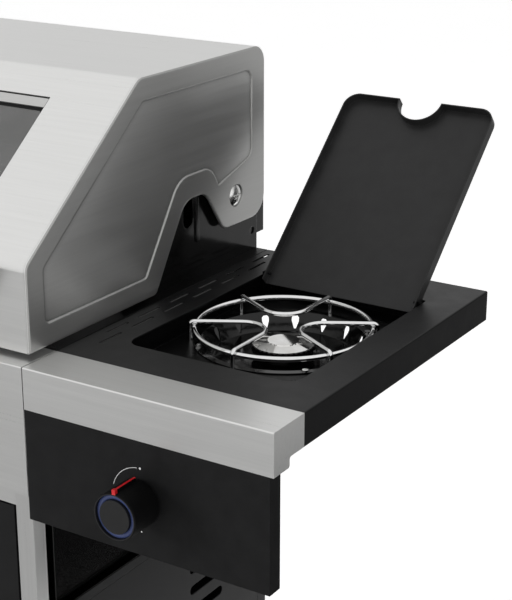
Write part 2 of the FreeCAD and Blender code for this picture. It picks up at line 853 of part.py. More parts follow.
def build_casters():
    mounts = []
    for name, back in (("front", "caster_front_back"), ("rear", "caster_rear_back")):
        y = f"front + {back}"
        square = (f"{y} - caster_plate / 2", f"{y} + caster_plate / 2")
        high = ("plate_low", "floor_height")
        plate = slab(("caster_across - caster_plate / 2", "caster_across + caster_plate / 2"), square, high)
        mounts.append(fork("caster_across", y, "0", "plate_low", [plate, brake_pin(y)]))
        part(f"fixed_wheel_{name}", caster_wheel("caster_across", y))
        part(f"brake_lever_{name}", brake_lever(y))

        x = "-caster_across"
        plate = slab((f"{x} - caster_plate / 2", f"{x} + caster_plate / 2"), square, high)
        bearing = rod("Z", x, y, "bearing_low", "bearing_radius", "bearing_height")
        king_pin = rod("Z", x, y, "crown_low", "king_pin_radius", "bearing_low - crown_low")
        mounts.append(fuse(plate, bearing, king_pin))
        crown = cut(rod("Z", x, y, "crown_low", "bearing_radius", "crown_height"),
                    rod("Z", x, y, "crown_low - seam", "king_pin_radius + running_fit",
                        "crown_height + 2 * seam"))
        bridge = cut(slab((f"{x} - bearing_radius * 0.7", f"{x} + bearing_radius * 0.7"),
                          (f"{y} - fork_outer", f"{y} + fork_outer"),
                          ("crown_low", "crown_low + fork_sheet")),
                     rod("Z", x, y, "crown_low - seam", "king_pin_radius + running_fit", "crown_height"))
        part(f"swivel_fork_{name}", fork(x, y, "caster_trail", "crown_low + fork_sheet", [crown, bridge]))
        part(f"swivel_wheel_{name}", caster_wheel(f"{x} + caster_trail", y))
    part("caster_mounts", group(*mounts))


# ---------------------------------------------------------------- firebox

def firebox_end():
    """The right end wall, with the hood's pivot hole, a notch for a spit and the grease tray's runner."""
    shape = [
        ("firebox_front_back", "-firebox_end_drop"),
        ("firebox_rear_back", "-firebox_end_drop"),
        ("firebox_rear_back", "pivot_rise - end_wall_step"),
        ("pivot_back + end_wall_round", "end_wall_rise"),
        ("end_wall_front", "end_wall_rise"),
        ("end_wall_foot", "-2 * steel_sheet"),
        ("firebox_front_back", "-2 * steel_sheet"),
    ]
    plate = outline("YZ_Plane", shape, "firebox_sheet", "firebox_inner", "front", "top",
                    rounds=[("end_wall_round", [2, 3, 4])])
    bead_ends = ("top + bead_low", "top + bead_high")
    bead = fuse(
        slab(("firebox_half", "firebox_half + bead_proud"),
             ("front + bead_back - bead_radius", "front + bead_back + bead_radius"), bead_ends),
        *[rod("X", "firebox_half", "front + bead_back", z, "bead_radius", "bead_proud") for z in bead_ends],
    )
    notch_x = ("firebox_inner - seam", "firebox_half + seam")
    spit_notch = fuse(
        slab(notch_x, ("front + spit_back - spit_radius", "front + spit_back + spit_radius"),
             ("top + spit_rise", "top + 2 * end_wall_rise")),
        rod("X", notch_x[0], "front + spit_back", "top + spit_rise", "spit_radius",
            "firebox_sheet + 2 * seam"),
    )
    runner = slab(("firebox_inner - runner_width", "firebox_inner"),
                  ("front + tray_front_back", "front + tray_rear_back"),
                  ("top - runner_drop - firebox_sheet", "top - runner_drop"))
    pivot_hole = rod("X", "firebox_inner - seam", "pivot_y", "pivot_z", "pivot_radius",
                     "firebox_sheet + 2 * seam")
    rear_hole = rod("X", "firebox_inner - seam", "front + rear_hole_back", "top + rear_hole_rise",
                    "rear_hole_radius", "firebox_sheet + 2 * seam")
    return cut(fuse(plate, runner, bead), pivot_hole, rear_hole, spit_notch)


def firebox_wall(outer, inner, slope_end, wall_top):
    """A wall with a lower part that slopes in towards the grease tray."""
    shape = [
        (outer, wall_top),
        (outer, "-firebox_wall_drop - firebox_sheet / 2"),
        (slope_end, "-firebox_slope_drop - firebox_sheet"),
        (slope_end, "-firebox_slope_drop"),
        (inner, "-firebox_wall_drop"),
        (inner, wall_top),
    ]
    return outline("YZ_Plane", shape, "2 * firebox_inner", "-firebox_inner", "front", "top")


def burner_places():
    return [f"{k} * knob_pitch" for k in (-1, 0, 1)]


def electrode(x, y, z, axis, reach):
    """A ceramic rod with a wire tip."""
    ceramic = rod(axis, x, y, z, "electrode_radius", reach)
    if axis == "Y":
        tip = rod(axis, x, f"({y}) + ({reach})", z, "electrode_tip_radius", "electrode_tip")
    else:
        tip = rod(axis, x, y, f"({z}) + ({reach})", "electrode_tip_radius", "electrode_tip")
    return fuse(ceramic, tip)


def main_burner(x):
    length = "firebox_rear_wall_back - firebox_sheet - burner_mouth_back"
    tube = rod("Y", x, "front + burner_mouth_back", "knob_z", "burner_radius", length)
    bore = rod("Y", x, "front + burner_mouth_back - seam", "knob_z", "burner_radius - burner_wall",
               f"{length} - 2 * burner_wall")
    return cut(tube, bore)


def flame_tamer(x):
    """An inverted channel that shields a burner."""
    rim = "firebox_sheet"
    shape = [
        ("0", "0"),
        ("tamer_width / 2", "tamer_rise"),
        ("tamer_width", "0"),
        (f"tamer_width - 1.6 * {rim}", "0"),
        ("tamer_width / 2", f"tamer_rise - {rim} / 2"),
        (f"1.6 * {rim}", "0"),
    ]
    return outline("XZ_Plane", shape, "firebox_rear_wall_back - firebox_wall_back - 2 * firebox_sheet",
                   f"{x} - tamer_width / 2", "front + firebox_rear_wall_back - firebox_sheet",
                   "top - tamer_drop")


def cooking_grate():
    """The right grate: bars from front to back on two cross bars."""
    depth = ("front + firebox_wall_back + seam", "front + firebox_rear_wall_back - firebox_sheet - seam")
    count = int(SIZES["grate_bars"])
    bars = []
    for k in range(count):
        low = f"grate_gap / 2 + {k} * (firebox_inner - 2 * grate_gap - grate_bar) / {count - 1}"
        bars.append(slab((low, f"{low} + grate_bar"), depth, ("grate_z", "grate_z + grate_height")))
    cross = [
        slab(("grate_gap / 2", "firebox_inner - grate_gap"), (y, f"{y} + grate_cross_bar"),
             ("grate_z", "grate_z + grate_height / 2"))
        for y in (depth[0], f"{depth[1]} - grate_cross_bar", "burner_y - grate_cross_bar / 2")
    ]
    return fuse(*bars, *cross)


def warming_rack():
    z = "top + rack_rise"
    rails = [rod("X", "-firebox_inner", f"front + {back}", z, "rack_rail_radius", "2 * firebox_inner")
             for back in ("rack_front_back", "rack_rear_back")]
    count = int(SIZES["rack_wires"])
    wires = [
        rod("Y", f"-firebox_inner + {k + 1} * 2 * firebox_inner / {count + 1}", "front + rack_front_back", z,
            "rack_wire_radius", "rack_rear_back - rack_front_back")
        for k in range(count)
    ]
    return fuse(*rails, *wires)


def grease_tray():
    high = ("top - runner_drop + moving_gap", "top - tray_top_drop")
    half_width = "firebox_inner - 2 * moving_gap"
    body = slab((f"-({half_width})", half_width), ("front + tray_front_back", "front + tray_rear_back"), high)
    hollow = slab((f"steel_sheet - ({half_width})", f"{half_width} - steel_sheet"),
                  ("front + tray_front_back + steel_sheet", "front + tray_rear_back - steel_sheet"),
                  (f"{high[0]} + steel_sheet", f"{high[1]} + seam"))
    lip = slab(("-knob_pitch / 2", "knob_pitch / 2"),
               ("front + tray_rear_back", "front + tray_rear_back + tray_handle"),
               (f"{high[1]} - steel_sheet", high[1]))
    return fuse(cut(body, hollow), lip)


def build_firebox():
    part("firebox_ends", pair(firebox_end()))
    burner_holes = [rod("Y", x, "front + firebox_wall_back - seam", "knob_z", "burner_radius",
                        "firebox_sheet + 2 * seam") for x in burner_places()]
    electrode_z = "knob_z + electrode_rise"
    electrode_y = "front + firebox_wall_back - electrode_offset / 2"
    electrode_holes = [rod("Y", f"{x} + electrode_offset", electrode_y, electrode_z, "electrode_hole",
                           "electrode_offset") for x in burner_places()]
    front_wall = firebox_wall("firebox_wall_back", "firebox_wall_back + firebox_sheet",
                              "firebox_wall_back + firebox_slope_run", "-grate_drop - grate_height")
    part("firebox_front", cut(front_wall, *burner_holes, *electrode_holes))
    rear_wall = firebox_wall("firebox_rear_wall_back", "firebox_rear_wall_back - firebox_sheet",
                             "firebox_rear_wall_back - firebox_slope_run", "firebox_rear_rise")
    ledge = slab(("-firebox_inner", "firebox_inner"),
                 ("front + firebox_rear_wall_back - 4 * firebox_sheet",
                  "front + firebox_rear_wall_back - firebox_sheet"),
                 ("grate_z - 3 * firebox_sheet", "grate_z"))
    part("firebox_back", fuse(rear_wall, ledge))
    shield_high = ("top + shield_low", "top + shield_high")
    shield = slab(("-firebox_inner", "firebox_inner"),
                  ("front + shield_back - steel_sheet", "front + shield_back"), shield_high)
    arm = slab(("firebox_inner - steel_sheet", "firebox_inner"),
               ("front + firebox_rear_wall_back + seam", "front + shield_back"), shield_high)
    part("rear_shield", fuse(shield, arm, mirror(arm)))
    part("main_burners", group(*[main_burner(x) for x in burner_places()]))
    part("flame_tamers", group(*[flame_tamer(x) for x in burner_places()]))
    part("cooking_grates", pair(cooking_grate()))
    part("warming_rack", warming_rack())
    part("grease_tray", grease_tray())
    electrodes = [electrode(f"{x} + electrode_offset", electrode_y, electrode_z, "Y",
                            "electrode_offset * 1.5")
                  for x in burner_places()]
    electrodes.append(electrode("burner_x + side_electrode_out", "burner_y",
                                "top - bowl_bottom_drop - 15", "Z", "31"))
    part("igniter_electrodes", group(*electrodes))


# ---------------------------------------------------------------- front panel and gas train

def control_panel():
    rim = "steel_sheet"
    shape = [
        ("0", "-panel_height"),
        ("0", "0"),
        ("trim_depth", "0"),
        ("trim_depth", "-panel_lip"),
        (f"trim_depth - {rim}", "-panel_lip"),
        (f"trim_depth - {rim}", f"-{rim}"),
        (rim, f"-{rim}"),
        (rim, f"{rim} - panel_height"),
        ("panel_lip", f"{rim} - panel_height"),
        ("panel_lip", "-panel_height"),
    ]
    folded = outline("YZ_Plane", shape, "body_width - 2 * seam", "seam - half", "front", "top",
                     rounds=[(rim, [1])])
    holes = [stem_hole(x) for x in burner_places()]
    return cut(folded, *holes)


def stem_hole(x):
    return rod("Y", x, "front - seam", "knob_z", "panel_hole_radius", "steel_sheet + 2 * seam")


def side_ledge():
    """The narrow strip that closes the top between the firebox and a shelf."""
    depth = ("front + trim_depth", "front + shelf_depth")
    flat = slab(("firebox_half", "half - seam"), depth, ("top - steel_sheet", "top"))
    fold = slab(("firebox_half", "firebox_half + steel_sheet"), depth, ("top - panel_lip", "top"))
    return fuse(flat, fold)


def gas_valve(x):
    block = slab((f"{x} - valve_half", f"{x} + valve_half"),
                 ("front + valve_front_back", "front + valve_rear_back"),
                 ("knob_z - valve_half", "knob_z + valve_half"))
    nipple = rod("Z", x, "front + manifold_back", "manifold_z + manifold_radius", "valve_nozzle_radius",
                 "manifold_below - manifold_radius - valve_half")
    nozzle = rod("Y", x, "front + valve_rear_back", "knob_z", "valve_nozzle_radius",
                 "valve_nozzle_back - valve_rear_back")
    bore = rod("Y", x, "front + valve_front_back - seam", "knob_z", "stem_radius + running_fit",
               "stem_root_back - valve_front_back + seam + moving_gap")
    return cut(fuse(block, nipple, nozzle), bore)


def gas_manifold():
    """A closed tube along the front, fed through an elbow whose inlet points down."""
    left = "-knob_pitch - inlet_overrun"
    length = "side_knob_x + manifold_overrun + knob_pitch + inlet_overrun"
    y = "front + manifold_back"
    tube = rod("X", left, y, "manifold_z", "manifold_radius", length)
    bore = rod("X", f"{left} + manifold_overrun / 2", y, "manifold_z", "manifold_bore",
               f"{length} - manifold_overrun")
    x = f"{left} + manifold_overrun"
    inlet_y = f"{y} + inlet_offset"
    inlet_bore = "inlet_radius - inlet_wall"
    arm = rod("Y", x, y, "manifold_z", "elbow_arm", "inlet_offset")
    elbow = rod("Z", x, inlet_y, "manifold_z - elbow_drop", "elbow_radius", "elbow_rise + elbow_drop")
    inlet = rod("Z", x, inlet_y, "manifold_z - inlet_length", "inlet_radius",
                "inlet_length - elbow_drop / 2")
    way_across = rod("Y", x, y, "manifold_z", "elbow_arm / 2", "inlet_offset")
    way_down = rod("Z", x, inlet_y, "manifold_z - inlet_length - seam", inlet_bore,
                   f"inlet_length + seam + {inlet_bore}")
    return cut(fuse(tube, arm, elbow, inlet), bore, way_across, way_down)


def valve_stem(x):
    return rod("Y", x, "front - stem_tip", "knob_z", "stem_radius", "stem_tip + stem_root_back")


def knob(x):
    """A turned grip with a capped pointer rib on top and a seat for the light ring in its face."""
    length = "knob_reach - knob_base_gap"
    section = [
        ("stem_radius + running_fit", "0"),
        ("knob_radius", "0"),
        ("knob_radius", f"{length} - knob_edge"),
        ("knob_radius - knob_edge", length),
        ("0", length),
        ("0", "knob_bore_depth"),
        ("stem_radius + running_fit", "knob_bore_depth"),
    ]
    grip = lathe(section, x, "front - knob_base_gap", "knob_z", "-Y")
    ring_seat = lathe([
        ("knob_ring_radius - knob_ring_width / 2", f"{length} - knob_ring_depth"),
        ("knob_ring_radius + knob_ring_width / 2", f"{length} - knob_ring_depth"),
        ("knob_ring_radius + knob_ring_width / 2", f"{length} + seam"),
        ("knob_ring_radius - knob_ring_width / 2", f"{length} + seam"),
    ], x, "front - knob_base_gap", "knob_z", "-Y")
    root = "knob_z + knob_radius - 2 * knob_edge"
    rib = slab((f"{x} - pointer_width / 2", f"{x} + pointer_width / 2"),
               ("front - knob_reach", "front - knob_reach + pointer_length"),
               (root, "knob_z + knob_radius + pointer_proud"))
    cap = slab((f"{x} - pointer_cap_width / 2", f"{x} + pointer_cap_width / 2"),
               ("front - knob_reach", "front - knob_reach + pointer_cap_length"),
               (root, "knob_z + knob_radius + pointer_cap_proud"))
    return cut(fuse(grip, rib, cap), ring_seat)


def build_front():
    part("control_panel", control_panel())
    part("side_ledges", pair(side_ledge()))
    part("gas_manifold", gas_manifold())
    places = dict(zip(("left", "middle", "right", "side"), burner_places() + ["side_knob_x"]))
    part("gas_valves", group(*[gas_valve(x) for x in places.values()]))
    for name, x in places.items():
        part(f"valve_stem_{name}", valve_stem(x))
        part(f"knob_{name}", knob(x))


# ---------------------------------------------------------------- hood

def hood_end():
    """The right end, with a notch over the firebox end and a pressed-in field."""
    shape = [
        ("hood_front", "hood_low"),
        ("hood_front", "hood_bend"),
        ("hood_upper", "hood_top"),
        ("hood_back", "hood_top"),
        ("hood_back", "lobe_low"),
        ("lobe_front", "lobe_low"),
        ("notch_rear", "notch_top"),
        ("notch_front", "notch_top"),
        ("notch_foot", "hood_low"),
    ]
    plate = outline("YZ_Plane", shape, "hood_end_depth", "shell_half", "front", "top", rounds=[
        ("hood_bend_radius", [1]),
        ("hood_upper_radius", [2]),
        ("hood_rear_radius", [3]),
        ("lobe_radius", [4]),
        ("lobe_front_radius", [5]),
        ("notch_rear_radius", [6]),
        ("notch_front_radius", [7]),
        ("notch_foot_radius", [8]),
    ], edge=("Fillet", 1, "hood_edge_round"))
    field_front = "hood_front + field_border"
    field_low = "hood_low + field_low_border"
    field_top = "hood_top - field_top_border"
    field_rear = "hood_back - field_rear_border"
    crest = "notch_top + field_crest_border"
    field_shape = [
        (field_front, field_low),
        (field_front, "hood_bend + (field_border * sin(hood_slope) - field_slope_border) / cos(hood_slope)"),
        ("hood_upper + (field_slope_border - field_top_border * cos(hood_slope)) / sin(hood_slope)",
         field_top),
        (field_rear, field_top),
        (field_rear, "pivot_rise + field_pivot_rise"),
        ("notch_rear + field_kink_back", "notch_top + field_kink_rise"),
        ("notch_rear + field_crest_tail", crest),
        ("notch_front - field_crest_lead", crest),
        ("notch_foot - field_foot_border", field_low),
    ]
    field = outline("YZ_Plane", field_shape, "2 * field_depth", "hood_half - field_depth", "front",
                    "top", rounds=[
        ("field_radius", [3, 4]),
        ("field_radius / 2", [0, 1, 2, 8]),
        ("field_crest_rear_radius", [6]),
        ("field_crest_front_radius", [7]),
    ], edge=("Chamfer", -1, "field_depth"))
    hole = rod("X", "shell_half - seam", "pivot_y", "pivot_z", "pivot_radius + running_fit",
               "hood_end_depth + 2 * seam")
    dimple = rod("X", "hood_half - pivot_dimple_depth", "pivot_y", "pivot_z", "pivot_dimple",
                 "pivot_dimple_depth")
    return cut(plate, field, hole, dimple)


def hood_shell():
    """The front, slope, top and back in one bent sheet."""
    rim = "steel_sheet"
    low_turn = "tan((90 - hood_slope) / 2)"
    high_turn = "tan(hood_slope / 2)"
    shape = [
        ("hood_front", "hood_low"),
        ("hood_front", "hood_bend"),
        ("hood_upper", "hood_top"),
        ("hood_back", "hood_top"),
        ("hood_back", "hood_rear_edge"),
        (f"hood_back - {rim}", "hood_rear_edge"),
        (f"hood_back - {rim}", f"hood_top - {rim}"),
        (f"hood_upper + {rim} * {high_turn}", f"hood_top - {rim}"),
        (f"hood_front + {rim}", f"hood_bend - {rim} * {low_turn}"),
        (f"hood_front + {rim}", "hood_low"),
    ]
    sheet = outline("YZ_Plane", shape, "2 * shell_half", "-shell_half", "front", "top", rounds=[
        ("hood_bend_radius", [1]),
        (f"hood_bend_radius - {rim}", [8]),
        ("hood_upper_radius", [2]),
        (f"hood_upper_radius - {rim}", [7]),
        ("hood_rear_radius", [3]),
        (f"hood_rear_radius - {rim}", [6]),
    ])
    opening = on_slope(("-window_half", "window_half"), ("window_low", "window_high"),
                       (f"-4 * {rim}", f"2 * {rim}"))
    gauge_hole = doc.addObject("Part::Cylinder", "GaugeHole")
    bind(gauge_hole, Radius="gauge_stem", Height=f"6 * {rim}")
    place_on_slope(gauge_hole, "0", "gauge_along", f"-4 * {rim}")
    return cut(sheet, opening, gauge_hole)


def thermometer():
    section = [
        ("0", "-gauge_stem_length"),
        ("gauge_stem", "-gauge_stem_length"),
        ("gauge_stem", "0"),
        ("gauge_radius", "0"),
        ("gauge_radius", "gauge_height * 0.8"),
        ("gauge_radius * 0.95", "gauge_height"),
        ("gauge_radius * 0.88", "gauge_height"),
        ("gauge_radius * 0.85", "gauge_height * 0.75"),
        ("0", "gauge_height * 0.75"),
    ]
    return place_on_slope(lathe(section, "0", "0", "0"), "0", "gauge_along", "0")


def pivot_screw():
    """A shouldered screw through the firebox end that the hood end turns on."""
    nut = rod("X", "firebox_inner - pivot_nut_height", "pivot_y", "pivot_z", "pivot_nut_radius",
              "pivot_nut_height")
    shank = rod("X", "firebox_inner - pivot_nut_height", "pivot_y", "pivot_z", "pivot_radius",
                "hood_half - firebox_inner + pivot_nut_height")
    shoulder = rod("X", "firebox_half", "pivot_y", "pivot_z", "pivot_shoulder",
                   "shell_half - firebox_half - moving_gap")
    seat = "hood_half - pivot_dimple_depth + moving_gap"
    ball = doc.addObject("Part::Sphere", "Dome")
    ball_radius = "(pivot_head_radius * pivot_head_radius / pivot_head_height + pivot_head_height) / 2"
    bind(ball, Radius=ball_radius)
    put(ball, f"{seat} + pivot_head_height - {ball_radius}", "pivot_y", "pivot_z")
    head = doc.addObject("Part::Common", "Head")
    head.Base = rod("X", seat, "pivot_y", "pivot_z", "pivot_head_radius", "pivot_head_height")
    head.Tool = ball
    sides = [("pivot_cross_reach", "pivot_cross_width / 2"), ("pivot_cross_width / 2", "pivot_cross_reach")]
    cross = [
        slab((f"{seat} + pivot_head_height - pivot_cross_depth", f"{seat} + 2 * pivot_head_height"),
             (f"pivot_y - {reach_y}", f"pivot_y + {reach_y}"),
             (f"pivot_z - {reach_z}", f"pivot_z + {reach_z}"))
        for reach_y, reach_z in sides
    ]
    return cut(fuse(nut, shank, shoulder, head), *cross)


def build_hood():
    part("hood_shell", hood_shell())
    part("hood_ends", pair(hood_end()))
    part("hood_pivot_screws", pair(pivot_screw()))
    part("hood_window", on_slope(("-window_half - window_lap", "window_half + window_lap"),
                                 ("window_low - window_lap", "window_high + window_lap"),
                                 ("-steel_sheet - glass_thickness", "-steel_sheet")))
    retainer_high = "window_high - retainer_gap"
    part("window_retainer", on_slope(("seam - window_half", "window_half - seam"),
                                     (f"{retainer_high} - retainer_width", retainer_high),
                                     ("-steel_sheet", "0")))
    part("thermometer", thermometer())
    bar = rod("X", "-handle_half", "handle_y", "handle_z", "handle_radius", "2 * handle_half")
    bore = rod("X", "-handle_half - seam", "handle_y", "handle_z", "handle_radius - handle_wall",
               "2 * handle_half + 2 * seam")
    part("hood_handle", cut(bar, bore))
    solid_bar = rod("X", "-handle_half", "handle_y", "handle_z", "handle_radius", "2 * handle_half")
    stud = rod("Y", "handle_half - standoff_inset", "handle_y", "handle_z", "standoff_radius",
               "handle_out + hood_front")
    part("handle_standoffs", pair(cut(stud, solid_bar)))


# ---------------------------------------------------------------- shelves

def shelf_trim():
    """The right shelf's front trim: a folded cover, closed at both ends."""
    rim = "steel_sheet"
    outer = [
        ("0", "0"),
        ("trim_depth", "0"),
        ("trim_depth", "-shelf_rim"),
        ("trim_step_back", "-shelf_rim"),
        ("trim_step_back", "-trim_height"),
        ("0", "-trim_height"),
    ]
    inner = [
        (rim, f"-{rim}"),
        (f"trim_depth - {rim}", f"-{rim}"),
        (f"trim_depth - {rim}", f"{rim} - shelf_rim"),
        (f"trim_step_back - {rim}", f"{rim} - shelf_rim"),
        (f"trim_step_back - {rim}", f"{rim} - trim_height"),
        (rim, f"{rim} - trim_height"),
    ]
    cover = outline("YZ_Plane", outer, "shelf_width - seam", "half + seam", "front", "top",
                    rounds=[(rim, [0]), (f"2 * {rim}", [3, 4])])
    hollow = outline("YZ_Plane", inner, f"shelf_width - seam - 2 * {rim}", f"half + seam + {rim}",
                     "front", "top")
    return cut(cover, hollow)


def table_top():
    """The right shelf's top, folded down at its outer and rear edges."""
    rim = "steel_sheet"
    section = [("half + seam", "-shelf_rim"), ("half + shelf_width", "-shelf_rim"),
               ("half + shelf_width", "0"), ("half + seam", "0")]
    plate = outline("XZ_Plane", section, "shelf_depth - trim_depth", "0", "front + shelf_depth", "top",
                    rounds=[("sheet_fold", [2])])
    hollow = slab(("half", f"half + shelf_width - {rim}"), ("front + trim_depth - seam",
                                                           f"front + shelf_depth - {rim}"),
                  ("top - 2 * shelf_rim", f"top - {rim}"))
    return cut(plate, hollow)


def recess(margin, z, depth):
    """The side burner's rounded opening, grown by a margin."""
    corners = [
        (f"recess_left - ({margin})", f"recess_front - ({margin})"),
        (f"recess_right + {margin}", f"recess_front - ({margin})"),
        (f"recess_right + {margin}", f"recess_back + {margin}"),
        (f"recess_left - ({margin})", f"recess_back + {margin}"),
    ]
    return outline("XY_Plane", corners, depth, "half", "front", z,
                   rounds=[(f"recess_corner + {margin}", [0, 1]), (f"recess_back_corner + {margin}", [2, 3])])


def vents():
    """Two staggered rows of slots between the side burner and the hood."""
    rows = (("vent_inner_across", "vent_inner_back"), ("vent_outer_across", "vent_outer_back"))
    return [
        slot("Z", "top - 2 * steel_sheet", f"half + {across}", f"front + {back} + {k} * vent_pitch",
             "vent_length", "vent_width", "4 * steel_sheet")
        for across, back in rows
        for k in range(int(SIZES["vent_rows"]))
    ]


def fascia(with_hole):
    rim = "steel_sheet"
    high = ("top - trim_height - fascia_height", "top - trim_height")
    front_plate = slab(("half + seam", "half + fascia_width"), ("front", "front + fascia_depth"), high)
    hollow = slab(("half", f"half + fascia_width - {rim}"), (f"front + {rim}", "front + 2 * fascia_depth"),
                  (f"{high[0]} + {rim}", f"{high[1]} - {rim}"))
    if with_hole:
        return cut(front_plate, hollow, stem_hole("side_knob_x"))
    return cut(front_plate, hollow)


def shelf_bracket(back):
    """An angle that carries a shelf from the firebox end."""
    depth = (f"front + {back}", f"front + {back} + bracket_width")
    flange = (f"front + {back}", f"front + {back} + firebox_sheet")
    flat = slab(("firebox_half + steel_sheet", "half + bracket_length"), depth,
                ("top - steel_sheet - firebox_sheet", "top - steel_sheet"))
    web = slab(("firebox_half + steel_sheet", "half + bracket_length"), flange,
               ("top - steel_sheet - bracket_height", "top - steel_sheet"))
    return fuse(flat, web)


def build_shelves():
    part("shelf_trims", pair(shelf_trim()))
    right_top = cut(table_top(), recess("0", "top - 3 * steel_sheet", "6 * steel_sheet"), *vents())
    part("table_top_right", right_top)
    part("table_top_left", mirror(table_top()))
    part("fascias", group(fascia(True), mirror(fascia(False))))
    brackets = [shelf_bracket("bracket_front"), shelf_bracket("bracket_rear")]
    part("shelf_brackets", group(*brackets, *[mirror(bracket) for bracket in brackets]))


# ---------------------------------------------------------------- side burner

def screw_places():
    """Angles of the bowl's screws."""
    return [45 + 90 * k for k in range(4)]


def around_burner(radius, angle):
    return f"burner_x + {radius} * cos({angle})", f"burner_y + {radius} * sin({angle})"


def screw_holes(low, depth):
    holes = []
    for angle in screw_places():
        x, y = around_burner("bowl_screw_circle", angle)
        holes.append(rod("Z", x, y, low, "bowl_screw_radius", depth))
    return holes


def burner_pan():
    """The tray under the opening, with a hole for the bowl and two ears for the lid's pins."""
    outer = recess("pan_margin + steel_sheet", "pan_floor - steel_sheet", "pan_depth")
    flange = recess("pan_reach", "top - 2 * steel_sheet", "steel_sheet")
    hollow = recess("pan_margin", "pan_floor", "pan_depth")
    hole = rod("Z", "burner_x", "burner_y", "pan_floor - 2 * steel_sheet",
               "bowl_radius + steel_sheet + bowl_clearance", "3 * steel_sheet")
    ears = []
    for low in ("half + recess_left + ear_gap", "half + recess_right - ear_gap - steel_sheet"):
        ear = slab((low, f"{low} + steel_sheet"), ("lid_pin_y - ear_half", "lid_pin_y + ear_half"),
                   ("pan_floor - steel_sheet / 2", "lid_pin_z + ear_above_pin"))
        hole_in_ear = rod("X", f"{low} - seam", "lid_pin_y", "lid_pin_z", "lid_pin_radius",
                          "steel_sheet + 2 * seam")
        ears.append(cut(ear, hole_in_ear))
    shell = cut(fuse(outer, flange), hollow, hole,
                *screw_holes("pan_floor - 2 * steel_sheet", "3 * steel_sheet"))
    return fuse(shell, *ears)


def burner_bowl():
    """A shallow flared bowl with a flat rim, and slots that narrow downwards round its wall."""
    rim = "steel_sheet"
    section = [
        ("bowl_rim", "-pan_depth"),
        ("bowl_rim", f"{rim} - pan_depth"),
        ("bowl_radius", f"{rim} - pan_depth"),
        ("bowl_bottom_radius", "-bowl_bottom_drop"),
        ("head_neck + seam", "-bowl_bottom_drop"),
        ("head_neck + seam", f"-bowl_bottom_drop - {rim}"),
        (f"bowl_bottom_radius + {rim}", f"-bowl_bottom_drop - {rim}"),
        (f"bowl_radius + {rim}", "-pan_depth"),
    ]
    body = lathe(section, "burner_x", "burner_y", "top")
    doc.recompute()
    half_width = "bowl_slot_width / 2"
    shoulder = "bowl_slot_width / 4"
    toe = "bowl_slot_width / 8"
    slot_shape = [
        (f"-{half_width}", "bowl_slot_width - bowl_slot_low"),
        (f"-{half_width}", f"-bowl_slot_high - {shoulder}"),
        (f"{shoulder} - {half_width}", "-bowl_slot_high"),
        (f"{half_width} - {shoulder}", "-bowl_slot_high"),
        (half_width, f"-bowl_slot_high - {shoulder}"),
        (half_width, "bowl_slot_width - bowl_slot_low"),
        (toe, "-bowl_slot_low"),
        (f"-{toe}", "-bowl_slot_low"),
    ]
    ring_of_pockets(body, slot_shape, "bowl_rim", "bowl_slots")
    electrode_hole = rod("Z", "burner_x + side_electrode_out", "burner_y",
                         "top - bowl_bottom_drop - 4 * steel_sheet", "electrode_hole", "8 * steel_sheet")
    return cut(body, electrode_hole, *screw_holes("pan_floor - seam", "3 * steel_sheet"))


def ring_of_pockets(body, shape, reach, count):
    """Cut a shape outwards from the body's axis, and repeat it all round."""
    before = body.Shape.Volume
    sketch = closed_sketch(body, "YZ_Plane", shape)
    pocket = body.newObject("PartDesign::Pocket", "Pocket")
    pocket.Profile = sketch
    pocket.Reversed = True
    bind(pocket, Length=reach)
    doc.recompute()
    pattern = body.newObject("PartDesign::PolarPattern", "Ring")
    pattern.Originals = [pocket]
    pattern.Axis = (plane_of(body, "Z_Axis"), [""])
    pattern.Angle = 360
    bind(pattern, Occurrences=count)
    body.Tip = pattern
    doc.recompute()
    if not body.Shape.Volume < before - 1:
        raise RuntimeError("the pockets cut nothing")


def burner_head():
    """The gas head: a crown of ports on a neck that seats on the bowl's floor."""
    section = [
        ("0", "-head_drop"),
        ("head_radius", "-head_drop"),
        ("head_radius", "-head_drop - head_height"),
        ("head_neck", "-head_drop - head_height - head_bore / 2"),
        ("head_neck", "head_shoulder_height - bowl_bottom_drop"),
        ("head_shoulder", "head_shoulder_height - bowl_bottom_drop"),
        ("head_shoulder", "-bowl_bottom_drop"),
        ("head_neck", "-bowl_bottom_drop"),
        ("head_neck", "-head_drop - head_length"),
        ("head_bore", "-head_drop - head_length"),
        ("head_bore", "-head_drop - head_height"),
        ("0", "-head_drop - head_height"),
    ]
    body = lathe(section, "burner_x", "burner_y", "top")
    doc.recompute()
    port = [
        ("-port_width / 2", "-head_drop - port_depth"),
        ("-port_width / 2", "port_depth - head_drop"),
        ("port_width / 2", "port_depth - head_drop"),
        ("port_width / 2", "-head_drop - port_depth"),
    ]
    ring_of_pockets(body, port, "2 * head_radius", "port_count")
    return body


def burner_cap():
    section = [
        ("0", "0"),
        ("cap_radius", "0"),
        ("cap_radius", "cap_edge"),
        ("cap_button", "cap_height"),
        ("cap_button * 0.95", "cap_height + cap_button_height"),
        ("0", "cap_height + cap_button_height"),
    ]
    return lathe(section, "burner_x", "burner_y", "top - head_drop")


